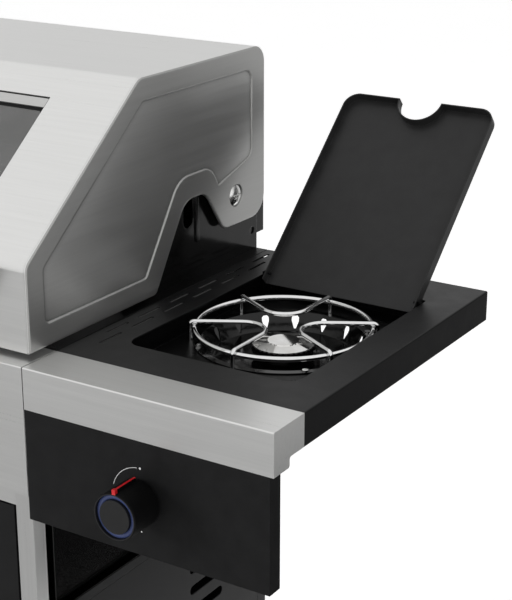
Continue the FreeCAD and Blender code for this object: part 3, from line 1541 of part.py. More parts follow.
def pot_support():
    """A wire ring with three bent wires on it, whose ends are its feet."""
    ring = doc.addObject("Part::Torus", "Ring")
    bind(ring, Radius1="pot_ring_radius", Radius2="pot_ring_wire")
    put(ring, "burner_x", "burner_y", "top - pot_ring_drop")
    foot = "pan_floor"
    level = "top - pot_ring_drop + pot_ring_wire + pot_wire - pot_weld"
    reach = "(pot_ring_radius + pot_ring_wire + pot_wire - pot_weld)"
    wires = []
    for direction in (0, 120, 240):
        first = around_burner(reach, direction - 30)
        last = around_burner(reach, direction + 30)
        route = [point(*first, foot), point(*first, level), point("burner_x", "burner_y", level),
                 point(*last, level), point(*last, foot)]
        bends = [number("pot_leg_bend"), number("pot_apex_bend"), number("pot_leg_bend")]
        wires.append(swept(route, number("pot_wire"), bends))
    return fuse(ring, *wires)


def gas_pipe():
    """The pipe from the side valve to the burner's neck."""
    low = point("side_knob_x", "front + valve_nozzle_back + moving_gap", "knob_z")
    turn = point("burner_x", "burner_y", "knob_z")
    high = point("burner_x", "burner_y", "top - head_drop - head_length + head_bore")
    pipe = swept([low, turn, high], number("gas_pipe_radius"), [number("gas_pipe_bend / 2")])
    collar = rod("Z", "burner_x", "burner_y", "top - head_drop - head_length - 2 * steel_sheet", "head_neck",
                 "2 * steel_sheet")
    return fuse(pipe, collar)


def bowl_screw(angle):
    x, y = around_burner("bowl_screw_circle", angle)
    shank = rod("Z", x, y, "pan_floor - 3 * steel_sheet", "bowl_screw_radius", "4 * steel_sheet")
    head = rod("Z", x, y, "pan_floor + steel_sheet", "bowl_screw_head", "bowl_screw_head_height")
    return fuse(shank, head)


def burner_lid():
    """The lid, drawn closed about its pin axis and then turned open."""
    rim = "steel_sheet"
    width = "lid_width / 2"
    front_edge = "lid_pin_inset - lid_length"
    low = "lid_pin_drop - lid_flange"

    def tray(margin, z, depth):
        corners = [
            (f"{margin} - {width}", f"{front_edge} + {margin}"),
            (f"{width} - {margin}", f"{front_edge} + {margin}"),
            (f"{width} - {margin}", "lid_pin_inset"),
            (f"{margin} - {width}", "lid_pin_inset"),
        ]
        return outline("XY_Plane", corners, depth, "0", "0", z, rounds=[(f"lid_corner - {margin}", [0, 1])])

    notch_wall = rod("Z", "0", front_edge, f"{low} - seam", f"lid_notch + {rim}", "lid_flange + 2 * seam")
    hollow = cut(tray(rim, f"{low} - seam", f"lid_flange - {rim} + seam"), notch_wall)
    notch = rod("Z", "0", front_edge, f"{low} - 2 * seam", "lid_notch", "lid_flange + 4 * seam")
    bore = rod("X", f"-{width} - seam", "0", "0", "lid_bore", "lid_width + 2 * seam")
    lid = cut(tray("0", low, "lid_flange"), hollow, notch, bore)
    opened = group(lid)
    opened.Placement = Placement(Vector(), Rotation(Vector(1, 0, 0), 1))
    bind(opened, **{"Placement.Rotation.Angle": "lid_lean - 180"})
    return put(opened, "burner_x", "lid_pin_y", "lid_pin_z")


def lid_pins():
    outer = "ear_gap / 2"
    left = rod("X", f"half + recess_left + {outer}", "lid_pin_y", "lid_pin_z", "lid_pin_radius",
               "lid_pin_length")
    right = rod("X", f"half + recess_right - {outer} - lid_pin_length", "lid_pin_y", "lid_pin_z",
                "lid_pin_radius", "lid_pin_length")
    return left, right


def build_side_burner():
    part("burner_pan", burner_pan())
    part("burner_bowl", burner_bowl())
    part("bowl_screws", group(*[bowl_screw(angle) for angle in screw_places()]))
    part("burner_head", burner_head())
    part("burner_cap", burner_cap())
    part("pot_support", pot_support())
    part("side_gas_pipe", gas_pipe())
    part("burner_lid", burner_lid())
    pins = door_pins()
    part("hinge_pins", group(*pins, *[mirror(pin) for pin in pins], *lid_pins()))


# ---------------------------------------------------------------- build, check and write

def check():
    """Stop before anything is written if an object failed or a shape is broken."""
    for thing in doc.Objects:
        if "Invalid" in thing.State or "Error" in thing.State:
            raise RuntimeError(f"{thing.Name} ({thing.Label}) failed: {thing.State}")
    for thing in parts:
        if thing.Shape.isNull() or not thing.Shape.isValid() or not thing.Shape.Solids:
            raise RuntimeError(f"{thing.Label} has a bad shape")


build_cabinet()
build_casters()
build_firebox()
build_front()
build_hood()
build_shelves()
build_side_burner()
doc.recompute()
check()
os.makedirs("parts", exist_ok=True)
for thing in parts:
    thing.Shape.exportStep(f"parts/{thing.Label}.step")
print(len(parts), "sub-parts")
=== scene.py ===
import math

import bmesh
import bpy
from mathutils import Matrix, Vector


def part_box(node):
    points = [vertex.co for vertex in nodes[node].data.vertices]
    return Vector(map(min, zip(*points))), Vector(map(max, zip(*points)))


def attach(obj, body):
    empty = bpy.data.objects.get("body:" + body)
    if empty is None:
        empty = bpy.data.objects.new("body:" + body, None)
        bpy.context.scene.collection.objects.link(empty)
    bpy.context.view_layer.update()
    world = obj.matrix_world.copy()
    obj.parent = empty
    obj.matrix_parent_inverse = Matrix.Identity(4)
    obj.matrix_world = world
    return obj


# The looks of a gas barbecue grill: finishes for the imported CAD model, the small printed and moulded
# pieces on it, and a white studio with a camera. Metres, +Z up, and the front faces -Y.

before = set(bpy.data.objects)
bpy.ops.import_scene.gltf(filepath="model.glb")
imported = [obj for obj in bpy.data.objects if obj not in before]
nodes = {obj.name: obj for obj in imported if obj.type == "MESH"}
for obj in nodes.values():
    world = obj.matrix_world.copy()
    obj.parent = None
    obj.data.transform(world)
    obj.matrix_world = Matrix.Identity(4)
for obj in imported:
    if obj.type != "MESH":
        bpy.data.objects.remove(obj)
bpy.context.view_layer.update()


# ---------------------------------------------------------------- shader nodes

class Shading:
    """A node tree with short ways to add to it. A value is a number, a colour or a node's output."""

    def __init__(self, tree):
        self.nodes = tree.nodes
        self.links = tree.links

    def put(self, value, socket):
        if isinstance(value, bpy.types.NodeSocket):
            self.links.new(value, socket)
        else:
            socket.default_value = value

    def add(self, kind, inputs=None, **settings):
        node = self.nodes.new(kind)
        for name, value in settings.items():
            setattr(node, name, value)
        for name, value in (inputs or {}).items():
            self.put(value, node.inputs[name])
        return node

    def calculate(self, operation, a, b):
        return self.add("ShaderNodeMath", {0: a, 1: b}, operation=operation).outputs["Value"]

    def spread(self, factor, low, high, start=0.3, end=0.7):
        """Low to high, as the factor goes from start to end."""
        return self.add("ShaderNodeMapRange", {"Value": factor, "From Min": start, "From Max": end,
                                               "To Min": low, "To Max": high}).outputs["Result"]

    def seen(self):
        """1 to the camera, to metal and to glass, and 0 to the light that falls on the object."""
        rays = self.add("ShaderNodeLightPath").outputs
        seen = self.calculate("MAXIMUM", rays["Is Camera Ray"], rays["Is Glossy Ray"])
        return self.calculate("MAXIMUM", seen, rays["Is Transmission Ray"])


class Finish(Shading):
    """A material built around one Principled shader, patterned in the piece's own coordinates."""

    def __init__(self, name, color, roughness, metallic=0.0, **sockets):
        self.material = bpy.data.materials.new(name)
        self.material.use_nodes = True
        super().__init__(self.material.node_tree)
        self.shader = self.nodes["Principled BSDF"]
        self.set("Base Color", (*color, 1.0))
        self.set("Roughness", roughness)
        self.set("Metallic", metallic)
        for socket, value in sockets.items():
            self.set(socket.replace("_", " "), value)

    def set(self, socket, value):
        self.put(value, self.shader.inputs[socket])

    def place(self, cycles):
        """The piece's coordinates in cycles per metre, the same for each axis or one for each."""
        scale = cycles if isinstance(cycles, tuple) else (cycles, cycles, cycles)
        spot = self.add("ShaderNodeTexCoord").outputs["Object"]
        return self.add("ShaderNodeMapping", {"Vector": spot, "Scale": scale}).outputs["Vector"]

    def noise(self, cycles, detail=2.0, roughness=0.5):
        return self.add("ShaderNodeTexNoise", {"Vector": self.place(cycles), "Scale": 1.0,
                                               "Detail": detail, "Roughness": roughness}).outputs["Fac"]

    def blend(self, factor, dark, light, start=0.3, end=0.7):
        """One colour to another, as the factor goes from start to end."""
        ramp = self.add("ShaderNodeValToRGB", {"Fac": factor})
        first, last = ramp.color_ramp.elements
        first.position, first.color = start, (*dark, 1.0)
        last.position, last.color = end, (*light, 1.0)
        return ramp.outputs["Color"]

    def relief(self, height, depth, edge=0.0):
        """Bumps of a depth in metres, over edges eased by a small radius."""
        bump = self.add("ShaderNodeBump", {"Height": height, "Distance": depth, "Strength": 1.0})
        if edge:
            eased = self.add("ShaderNodeBevel", {"Radius": edge}, samples=4)
            self.links.new(eased.outputs["Normal"], bump.inputs["Normal"])
        self.set("Normal", bump.outputs["Normal"])
        return self

    def paint_corner_shade(self, color, low, reach=0.008):
        """The colour, down to a low share of it in tight inner corners: painted shade."""
        corner = self.add("ShaderNodeAmbientOcclusion", {"Distance": reach}, samples=16).outputs["AO"]
        share = self.spread(corner, low, 1.0, start=0.88, end=0.995)
        shade = self.add("ShaderNodeCombineColor", {"Red": share, "Green": share, "Blue": share})
        color_a, color_b, color_result = 6, 7, 2
        mixed = self.add("ShaderNodeMix", {"Factor": 1.0, color_a: color, color_b: shade.outputs["Color"]},
                         data_type="RGBA", blend_type="MULTIPLY")
        return mixed.outputs[color_result]


def scaled(color, share):
    return tuple(c * share for c in color)


def by_axis(axis, along, across):
    """Three values for X, Y and Z: one along an axis and another across it."""
    return tuple(along if a == axis else across for a in "XYZ")


# ---------------------------------------------------------------- finishes

def brushed_steel(name, axis, color=(0.70, 0.70, 0.69), roughness=0.30, edge=0.0003, corners=None):
    """Stainless sheet with a fine grain, soft bands along it and faint cloudiness. Where corners is given,
    painted shade darkens its inner corners to that share of its colour.
    """
    finish = Finish(name, color, roughness, metallic=1.0, Anisotropic=0.55, Anisotropic_Rotation=0.25)
    hairlines = finish.noise(by_axis(axis, 14.0, 2200.0), detail=3.0, roughness=0.6)
    bands = finish.noise(by_axis(axis, 5.0, 260.0))
    clouds = finish.spread(finish.noise(7.0, detail=3.0), -0.015, 0.015)
    grain = finish.calculate("ADD", finish.calculate("MULTIPLY", hairlines, 0.5),
                             finish.calculate("MULTIPLY", bands, 0.5))
    shade = finish.blend(grain, scaled(color, 0.97), scaled(color, 1.03), start=0.35, end=0.65)
    # painted shade in inner corners, where corners is given
    finish.set("Base Color", finish.paint_corner_shade(shade, corners) if corners else shade)
    dull = finish.spread(grain, roughness - 0.025, roughness + 0.03)
    finish.set("Roughness", finish.calculate("ADD", dull, clouds))
    line = finish.add("ShaderNodeVectorTransform", {"Vector": by_axis(axis, 1.0, 0.0)},
                      vector_type="VECTOR", convert_from="OBJECT", convert_to="WORLD")
    finish.set("Tangent", line.outputs["Vector"])
    return finish.relief(hairlines, depth=0.000004, edge=edge)


def powder_coat(name, color, roughness, gloss=0.25, edge=0.001):
    """Baked black powder coat: a fine orange peel, faint mottling and slightly rubbed patches."""
    finish = Finish(name, color, roughness, Specular_IOR_Level=gloss)
    peel = finish.noise(950.0)
    mottle = finish.noise(38.0, detail=4.0, roughness=0.6)
    finish.set("Base Color", finish.blend(mottle, scaled(color, 0.85), scaled(color, 1.2)))
    finish.set("Roughness", finish.spread(mottle, roughness - 0.04, roughness + 0.05))
    return finish.relief(peel, depth=0.00003, edge=edge)


def gloss_enamel(name, color, roughness, gloss, edge=0.0006):
    """Wet-looking black enamel with fine specks and a long, low ripple."""
    finish = Finish(name, color, roughness, Specular_IOR_Level=gloss)
    ripple = finish.noise(26.0)
    specks = finish.noise(320.0, detail=3.0, roughness=0.7)
    finish.set("Base Color", finish.blend(specks, color, scaled(color, 1.6), start=0.45, end=0.75))
    finish.set("Roughness", finish.spread(specks, roughness * 0.7, roughness * 1.6))
    return finish.relief(ripple, depth=0.0003, edge=edge)


def polished(name, color, roughness):
    """Plated or polished metal with faint handling marks."""
    finish = Finish(name, color, roughness, metallic=1.0)
    smears = finish.noise(60.0, detail=4.0, roughness=0.65)
    pits = finish.noise(700.0)
    finish.set("Base Color", finish.blend(smears, scaled(color, 0.92), color))
    finish.set("Roughness", finish.spread(smears, roughness * 0.7, roughness * 1.5))
    return finish.relief(pits, depth=0.000008)


def polished_cap():
    """A bright cap, faintly tinted by heat."""
    finish = Finish("polished_cap", (0.80, 0.80, 0.79), 0.05, metallic=1.0)
    heat = finish.noise(60.0, detail=3.0)
    finish.set("Base Color", finish.blend(heat, (0.72, 0.71, 0.69), (0.82, 0.82, 0.81)))
    return finish.relief(finish.noise(900.0), depth=0.000005, edge=0.0004)


def zinc_plate():
    """Bright zinc with a faint spangle."""
    color = (0.62, 0.63, 0.65)
    finish = Finish("zinc", color, 0.28, metallic=1.0)
    spangle = finish.add("ShaderNodeTexVoronoi", {"Vector": finish.place(210.0), "Scale": 1.0})
    shade = finish.add("ShaderNodeSeparateColor", {"Color": spangle.outputs["Color"]}).outputs["Red"]
    finish.set("Base Color", finish.blend(shade, scaled(color, 0.85), color, start=0.1, end=0.9))
    finish.set("Roughness", finish.spread(shade, 0.2, 0.36, start=0.0, end=1.0))
    return finish.relief(finish.noise(500.0), depth=0.00001, edge=0.0004)


def heated_steel():
    """Plain steel that heat has tinted straw and blue in places."""
    finish = Finish("burner_steel", (0.50, 0.48, 0.45), 0.38, metallic=1.0)
    heat = finish.noise((11.0, 5.0, 11.0), detail=3.0)
    soot = finish.noise(46.0, detail=5.0, roughness=0.7)
    finish.set("Base Color", finish.blend(heat, (0.36, 0.34, 0.36), (0.56, 0.53, 0.48)))
    finish.set("Roughness", finish.spread(soot, 0.28, 0.55))
    return finish.relief(soot, depth=0.00006, edge=0.0005)


def cast_iron():
    """Enamelled castings with the sand's texture showing through."""
    finish = Finish("iron", (0.02, 0.02, 0.02), 0.4)
    sand = finish.noise(420.0, detail=4.0, roughness=0.65)
    worn = finish.noise(30.0, detail=4.0)
    finish.set("Base Color", finish.blend(worn, (0.012, 0.012, 0.012), (0.032, 0.031, 0.03)))
    finish.set("Roughness", finish.spread(worn, 0.3, 0.5))
    return finish.relief(sand, depth=0.00022, edge=0.0008)


def turned(name, color, roughness):
    """Turned metal with tool marks and a thin film of dirt."""
    finish = Finish(name, color, roughness, metallic=1.0)
    marks = finish.noise((900.0, 90.0, 900.0))
    film = finish.noise(80.0, detail=3.0)
    finish.set("Base Color", finish.blend(film, scaled(color, 0.8), color))
    finish.set("Roughness", finish.spread(film, roughness - 0.06, roughness + 0.08))
    return finish.relief(marks, depth=0.00002, edge=0.0004)


def moulded(name, color, roughness, depth=0.00002, cycles=1300.0, gloss=0.5):
    """Moulded plastic, rubber or ceramic with a fine even texture."""
    finish = Finish(name, color, roughness, Specular_IOR_Level=gloss)
    texture = finish.noise(cycles)
    patches = finish.noise(70.0, detail=3.0)
    finish.set("Base Color", finish.blend(patches, scaled(color, 0.88), scaled(color, 1.1)))
    finish.set("Roughness", finish.spread(patches, roughness - 0.04, roughness + 0.05))
    return finish.relief(texture, depth, edge=0.0004)


def smoked_glass():
    """Dark heat-proof glass with a faint film of smoke on it."""
    finish = Finish("window_glass", (0.26, 0.26, 0.255), 0.03, IOR=1.5, Transmission_Weight=0.6)
    film = finish.noise(22.0, detail=5.0, roughness=0.7)
    finish.set("Base Color", finish.blend(film, (0.22, 0.22, 0.215), (0.30, 0.30, 0.295)))
    finish.set("Roughness", finish.spread(film, 0.02, 0.07))
    return finish


def clear_lens():
    """Clear glass with the faintest haze."""
    finish = Finish("gauge_glass", (0.96, 0.96, 0.96), 0.02, IOR=1.45, Transmission_Weight=1.0)
    haze = finish.noise(90.0, detail=3.0)
    finish.set("Roughness", finish.spread(haze, 0.01, 0.05))
    return finish


def light_ring():
    """A blue ring that glows faintly and a little unevenly."""
    finish = Finish("blue_light_ring", (0.035, 0.048, 0.12), 0.35)
    flow = finish.noise(95.0)
    finish.set("Emission Color", finish.blend(flow, (0.02, 0.03, 0.085), (0.035, 0.05, 0.14)))
    finish.set("Emission Strength", 0.30)
    return finish


def printed_white():
    """Screen-printed ink, a little thin in places."""
    finish = Finish("printed_white", (0.8, 0.8, 0.8), 0.5)
    thin = finish.noise(800.0, detail=3.0)
    finish.set("Base Color", finish.blend(thin, (0.62, 0.62, 0.62), (0.86, 0.86, 0.86)))
    return finish


PRESSED_EDGE = 0.0024  # the soft radius of the edges pressed into the hood's ends

STEEL_X = brushed_steel("brushed_steel_across", "X")
STEEL_Y = brushed_steel("brushed_steel_back", "Y", color=(0.66, 0.66, 0.65))
# The hood ends are one sheet of the same steel. Its border and the step get darker greys than the field as
# painted shade, and the field gets painted shade in its inner corners.
STEEL_BORDER_SHADED = brushed_steel("brushed_steel_border_painted_shade", "Y", color=(0.57, 0.57, 0.56), roughness=0.34,
                             edge=PRESSED_EDGE)
STEEL_FIELD_CORNER_SHADED = brushed_steel("brushed_steel_field_corner_shade", "Y", roughness=0.31, edge=PRESSED_EDGE, corners=0.35)
STEEL_STEP_SHADED = brushed_steel("brushed_steel_step_painted_shade", "Y", color=(0.42, 0.42, 0.41), roughness=0.5,
                           edge=PRESSED_EDGE)
STEEL_DULL = brushed_steel("brushed_steel_frame", "X", color=(0.52, 0.52, 0.51), roughness=0.34)
STEEL_Z = brushed_steel("brushed_steel_up", "Z")
BLACK = powder_coat("black_coat", (0.0060, 0.0060, 0.0063), 0.38, gloss=0.18)
LID = powder_coat("lid_coat", (0.030, 0.030, 0.0303), 0.42)
LEDGE = powder_coat("ledge_coat", (0.0018, 0.0018, 0.0019), 0.3, gloss=0.10)
# A darker, duller copy of the black coat for the outer sides of the shelf tops and the fascias: painted
# shade.
RIM_SHADED = powder_coat("rim_coat_painted_shade", (0.006, 0.006, 0.0062), 0.45, gloss=0.06)
FASCIA = powder_coat("fascia_coat", (0.0115, 0.0115, 0.0118), 0.5, gloss=0.08)
ENAMEL = gloss_enamel("gloss_black", (0.003, 0.003, 0.003), 0.09, gloss=0.35)
FIREBOX = gloss_enamel("firebox_enamel", (0.003, 0.003, 0.003), 0.12, gloss=0.5, edge=0.0016)
CHROME = polished("chrome_wire", (0.78, 0.78, 0.78), 0.05)
MIRROR = polished_cap()
ZINC = zinc_plate()
SCREWS = polished("bright_screws", (0.80, 0.80, 0.79), 0.16)
TUBE = heated_steel()
IRON = cast_iron()
BRASS = turned("brass", (0.70, 0.50, 0.24), 0.3)
ALUMINIUM = turned("aluminium", (0.68, 0.68, 0.69), 0.36)
KNOB = moulded("knob_plastic", (0.008, 0.008, 0.0083), 0.42, gloss=0.35)
# Partly the grip's own duller black, partly painted shade on the knob's side.
GRIP_AND_SHADE = moulded("knob_grip_and_painted_shade", (0.0015, 0.0015, 0.0016), 0.6, gloss=0.1)
RED = moulded("pointer_red", (0.62, 0.012, 0.018), 0.3)
CERAMIC = moulded("ceramic", (0.80, 0.78, 0.73), 0.18, depth=0.00001, cycles=300.0)
TYRE = moulded("tyre_rubber", (0.022, 0.022, 0.022), 0.62, depth=0.00008, cycles=600.0)
HUB = moulded("hub_nylon", (0.10, 0.10, 0.105), 0.45)
GLASS = smoked_glass()
RING = light_ring()
WHITE = printed_white()
INK = powder_coat("black_print", (0.004, 0.004, 0.004), 0.5, gloss=0.1, edge=0.0)
LENS = clear_lens()

PLAIN_FINISHES = [
    (STEEL_X, "hood_shell hood_handle shelf_trims control_panel front_rails"),
    (STEEL_DULL, "window_retainer"),
    (STEEL_Y, "handle_standoffs"),
    (STEEL_Z, "front_posts thermometer"),
    (BLACK, "cabinet_sides cabinet_back cabinet_floor door_left door_right shelf_brackets"),
    (LID, "burner_lid"),
    (FIREBOX, "firebox_ends firebox_front firebox_back rear_shield"),
    (LEDGE, "side_ledges burner_pan"),
    (ENAMEL, "burner_bowl burner_head"),
    (CHROME, "pot_support warming_rack"),
    (MIRROR, "burner_cap"),
    (IRON, "cooking_grates"),
    (TUBE, "main_burners flame_tamers grease_tray"),
    (SCREWS, "bowl_screws hood_pivot_screws"),
    (ZINC, "caster_mounts swivel_fork_front swivel_fork_rear brake_lever_front brake_lever_rear"),
    (ALUMINIUM, "gas_manifold side_gas_pipe"),
    (BRASS, "gas_valves valve_stem_left valve_stem_middle valve_stem_right valve_stem_side"),
    (GLASS, "hood_window"),
]


# ---------------------------------------------------------------- finishes by face

ON_PLANE = 0.0005        # how far from a plane the centre of a face on it may lie
BORDER_DEPTH = 0.00015   # a face of a hood end less deep than this is on the raised border
FIELD_DEPTH = 0.00115    # and one deeper than this is in the pressed field
HUB_RADIUS = 0.0262      # a face of a wheel nearer its axle than this is on the hub

end_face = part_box("hood_ends")[1].x
ends_middle = (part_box("hood_ends")[0].x + end_face) / 2


def dress(node, *finishes, choose=None):
    """A node's finishes. Where it has several, choose gives a face's by number, from its centre."""
    mesh = nodes[node].data
    mesh.materials.clear()
    for finish in finishes:
        mesh.materials.append(finish.material)
    for face in mesh.polygons:
        face.material_index = choose(face.center) if choose else 0


def hood_end_part(spot):
    """The raised border, the field pressed into it or the step between them."""
    sunk = end_face - ends_middle - abs(spot.x - ends_middle)
    if sunk < BORDER_DEPTH:
        return 0
    return 1 if sunk > FIELD_DEPTH else 2


def outer_side(edge_x):
    """Picks the faces at a distance to the left or right of the grill's middle."""
    return lambda spot: int(abs(abs(spot.x) - edge_x) < ON_PLANE)


def right_of_body(spot):
    """Picks the pins and the electrode of the side burner."""
    return int(spot.x > end_face)


def dress_wheel(name):
    low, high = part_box(name)
    axle = (low + high) / 2
    dress(name, TYRE, HUB,
          choose=lambda spot: int(math.hypot(spot.x - axle.x, spot.z - axle.z) < HUB_RADIUS))


for finish, names in PLAIN_FINISHES:
    for name in names.split():
        dress(name, finish)
# the hood ends in three greys of one steel: painted shade on the border, the step and the field's corners
dress("hood_ends", STEEL_BORDER_SHADED, STEEL_FIELD_CORNER_SHADED, STEEL_STEP_SHADED, choose=hood_end_part)
# the outer sides of the shelf tops and the fascias get the painted-shade coat
for name, side in (("table_top_left", 0), ("table_top_right", 1)):
    dress(name, BLACK, RIM_SHADED, choose=outer_side(abs(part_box(name)[side].x)))
dress("fascias", FASCIA, RIM_SHADED, choose=outer_side(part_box("fascias")[1].x))
dress("igniter_electrodes", CERAMIC, IRON, choose=right_of_body)
dress("hinge_pins", ZINC, BLACK, choose=right_of_body)
for name in ("fixed_wheel_front", "fixed_wheel_rear", "swivel_wheel_front", "swivel_wheel_rear"):
    dress_wheel(name)


# ---------------------------------------------------------------- shapes for small pieces

def piece(name, shape, finish, body):
    """A shape as a piece of the grill that rides on a body."""
    mesh = bpy.data.meshes.new(name)
    shape.to_mesh(mesh)
    shape.free()
    mesh.materials.append(finish.material)
    thing = bpy.data.objects.new(name, mesh)
    bpy.context.scene.collection.objects.link(thing)
    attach(thing, body)


def join_pair(shape, one, other):
    """A band of faces from one closed loop of points to another."""
    count = len(one)
    for k in range(count):
        shape.faces.new((one[k], one[(k + 1) % count], other[(k + 1) % count], other[k]))


def join_loops(shape, loops):
    """Bands from each loop to the next, and from the last to the first."""
    for one, other in zip(loops, loops[1:] + loops[:1]):
        join_pair(shape, one, other)


def fill_prism(shape, low, high):
    """A closed plate between two loops."""
    join_pair(shape, low, high)
    shape.faces.new(reversed(low))
    shape.faces.new(high)


def turned_ring(section, place, sides=96):
    """A smooth closed ring about a place's local Z, from its section: radius, then height."""
    shape = bmesh.new()
    loops = []
    for step in range(sides):
        angle = 2 * math.pi * step / sides
        loops.append([shape.verts.new(place @ Vector((r * math.cos(angle), r * math.sin(angle), h)))
                      for r, h in section])
    join_loops(shape, loops)
    bmesh.ops.recalc_face_normals(shape, faces=shape.faces)
    for face in shape.faces:
        face.smooth = True
    return shape


def flat_ribbon(shape, place, radii, angles, levels, steps=40):
    """Part of a flat ring between two angles, measured clockwise from the place's local Y."""
    (inner, outer), (start, end), (low, high) = radii, angles, levels
    loops = []
    for step in range(steps + 1):
        angle = start + (end - start) * step / steps
        across, up = math.sin(angle), math.cos(angle)
        loops.append([shape.verts.new(place @ Vector((across * r, up * r, h)))
                      for r, h in ((inner, low), (outer, low), (outer, high), (inner, high))])
    for one, other in zip(loops, loops[1:]):
        join_pair(shape, one, other)
    shape.faces.new(loops[0])
    shape.faces.new(reversed(loops[-1]))


def flat_disc(shape, place, radius, levels, up=0.0, steps=24):
    """A disc about a place's local Z, or moved up from it along the local Y."""
    turns = [2 * math.pi * step / steps for step in range(steps)]
    edge = [(radius * math.cos(turn), up + radius * math.sin(turn)) for turn in turns]
    fill_prism(shape, *([shape.verts.new(place @ Vector((*spot, level))) for spot in edge]
                        for level in levels))


def rounded_loop(shape, place, low, high, radius, level, steps=6):
    """Points round a rectangle with rounded corners, anticlockwise from its upper right one."""
    left, right = low[0] + radius, high[0] - radius
    foot, head = low[1] + radius, high[1] - radius
    loop = []
    for x, y, start in ((right, head, 0), (left, head, 90), (left, foot, 180), (right, foot, 270)):
        for step in range(steps + 1):
            angle = math.radians(start + 90 * step / steps)
            spot = Vector((x + radius * math.cos(angle), y + radius * math.sin(angle), level))
            loop.append(shape.verts.new(place @ spot))
    return loop


def facing_front(x, y, z):
    """A place whose local Z looks out of the front, with local Y up."""
    return Matrix(((1, 0, 0, x), (0, 0, -1, y), (0, 1, 0, z), (0, 0, 0, 1)))


# ---------------------------------------------------------------- knobs

# Levels of the light ring, from the foremost plane of the knob, and its radii.
RING_SEAT, RING_SHOULDER, RING_BEVEL, RING_CROWN = -0.0041, -0.0034, -0.0029, -0.0027
RING_INNER, RING_OUTER, RING_ROUND = 0.0193, 0.0243, 0.0012
RING_SECTION = [
    (RING_INNER, RING_SEAT), (RING_OUTER, RING_SEAT), (RING_OUTER, RING_SHOULDER),
    (RING_OUTER - RING_ROUND, RING_BEVEL), ((RING_INNER + RING_OUTER) / 2, RING_CROWN),
    (RING_INNER + RING_ROUND, RING_BEVEL), (RING_INNER, RING_SHOULDER),
]

# Which faces of a knob are the pointer's and the grip's.
POINTER_HALF = 0.0026     # the pointer's are nearer the knob's middle plane than this
POINTER_TOP = 0.0035      # its top starts this far above the knob's radius
CAP_FOOT = -0.0004        # and its front cap this far above it, down to a depth from the front
CAP_DEPTH = 0.0041
GRIP_SHARE = 0.97         # the grip's are beyond this share of the knob's radius

# The marks printed on the panel: an arc, and a dot above and one below the knob.
MARK_RADIUS, MARK_HALF = 0.0369, 0.0003
MARK_ANGLES = math.radians(-74), math.radians(-6)
UPPER_DOT, LOWER_DOT = 0.0013, 0.0009
PRINT_LEVELS = -0.0001, 0.00008

panel_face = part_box("control_panel")[0].y
knob_z = (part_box("valve_stem_side")[0].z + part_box("valve_stem_side")[1].z) / 2


def knob(name):
    """A knob's colours, its light ring, and the marks on the panel behind it."""
    low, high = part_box(f"knob_{name}")
    x = (low.x + high.x) / 2
    radius = (high.x - low.x) / 2

    def knob_part(spot):
        """Red on the pointer's top and its front cap, and round the grip a darker, duller black that is
        partly painted shade.
        """
        proud = spot.z - knob_z - radius
        on_cap = proud > CAP_FOOT and spot.y < low.y + CAP_DEPTH
        if abs(spot.x - x) < POINTER_HALF and (proud > POINTER_TOP or on_cap):
            return 1
        return 2 if math.hypot(spot.x - x, spot.z - knob_z) > radius * GRIP_SHARE else 0

    dress(f"knob_{name}", KNOB, RED, GRIP_AND_SHADE, choose=knob_part)
    ring = turned_ring(RING_SECTION, facing_front(x, low.y, knob_z))
    piece(f"light_ring_{name}", ring, RING, f"knob_{name}")

    panel = facing_front(x, panel_face, knob_z)
    arc = MARK_RADIUS - MARK_HALF, MARK_RADIUS + MARK_HALF
    marks = bmesh.new()
    flat_ribbon(marks, panel, arc, MARK_ANGLES, PRINT_LEVELS)
    flat_disc(marks, panel, UPPER_DOT, PRINT_LEVELS, up=MARK_RADIUS)
    flat_disc(marks, panel, LOWER_DOT, PRINT_LEVELS, up=-MARK_RADIUS)
    piece(f"knob_marks_{name}", marks, WHITE, "cart")


for name in ("left", "middle", "right", "side"):
    knob(name)


# ---------------------------------------------------------------- window and thermometer

FACES_FRONT = -0.05  # the direction of a face that faces the front has less Y than this


def front_side(node):
    """The largest flat side of a node that faces the front: its direction and its faces."""
    sides = {}
    for face in nodes[node].data.polygons:
        if face.normal.y < FACES_FRONT:
            sides.setdefault(tuple(round(n, 3) for n in face.normal), []).append(face)
    faces = max(sides.values(), key=lambda group: sum(face.area for face in group))
    return faces[0].normal.copy(), faces


def up_slope(out):
    """The direction up a slope that looks out along another."""
    return Vector((0, out.z, -out.y))


def slope_place(out, origin):
    """A place whose local Z is square to the hood's slope, with local Y up the slope."""
    turn = Matrix((Vector((1, 0, 0)), up_slope(out), out)).transposed()
    return Matrix.Translation(origin) @ turn.to_4x4()


def extent(spots, direction):
    """The least and the most that some spots reach along a direction."""
    reach = [spot.dot(direction) for spot in spots]
    return min(reach), max(reach)


def spots_of(node):
    return [vertex.co for vertex in nodes[node].data.vertices]


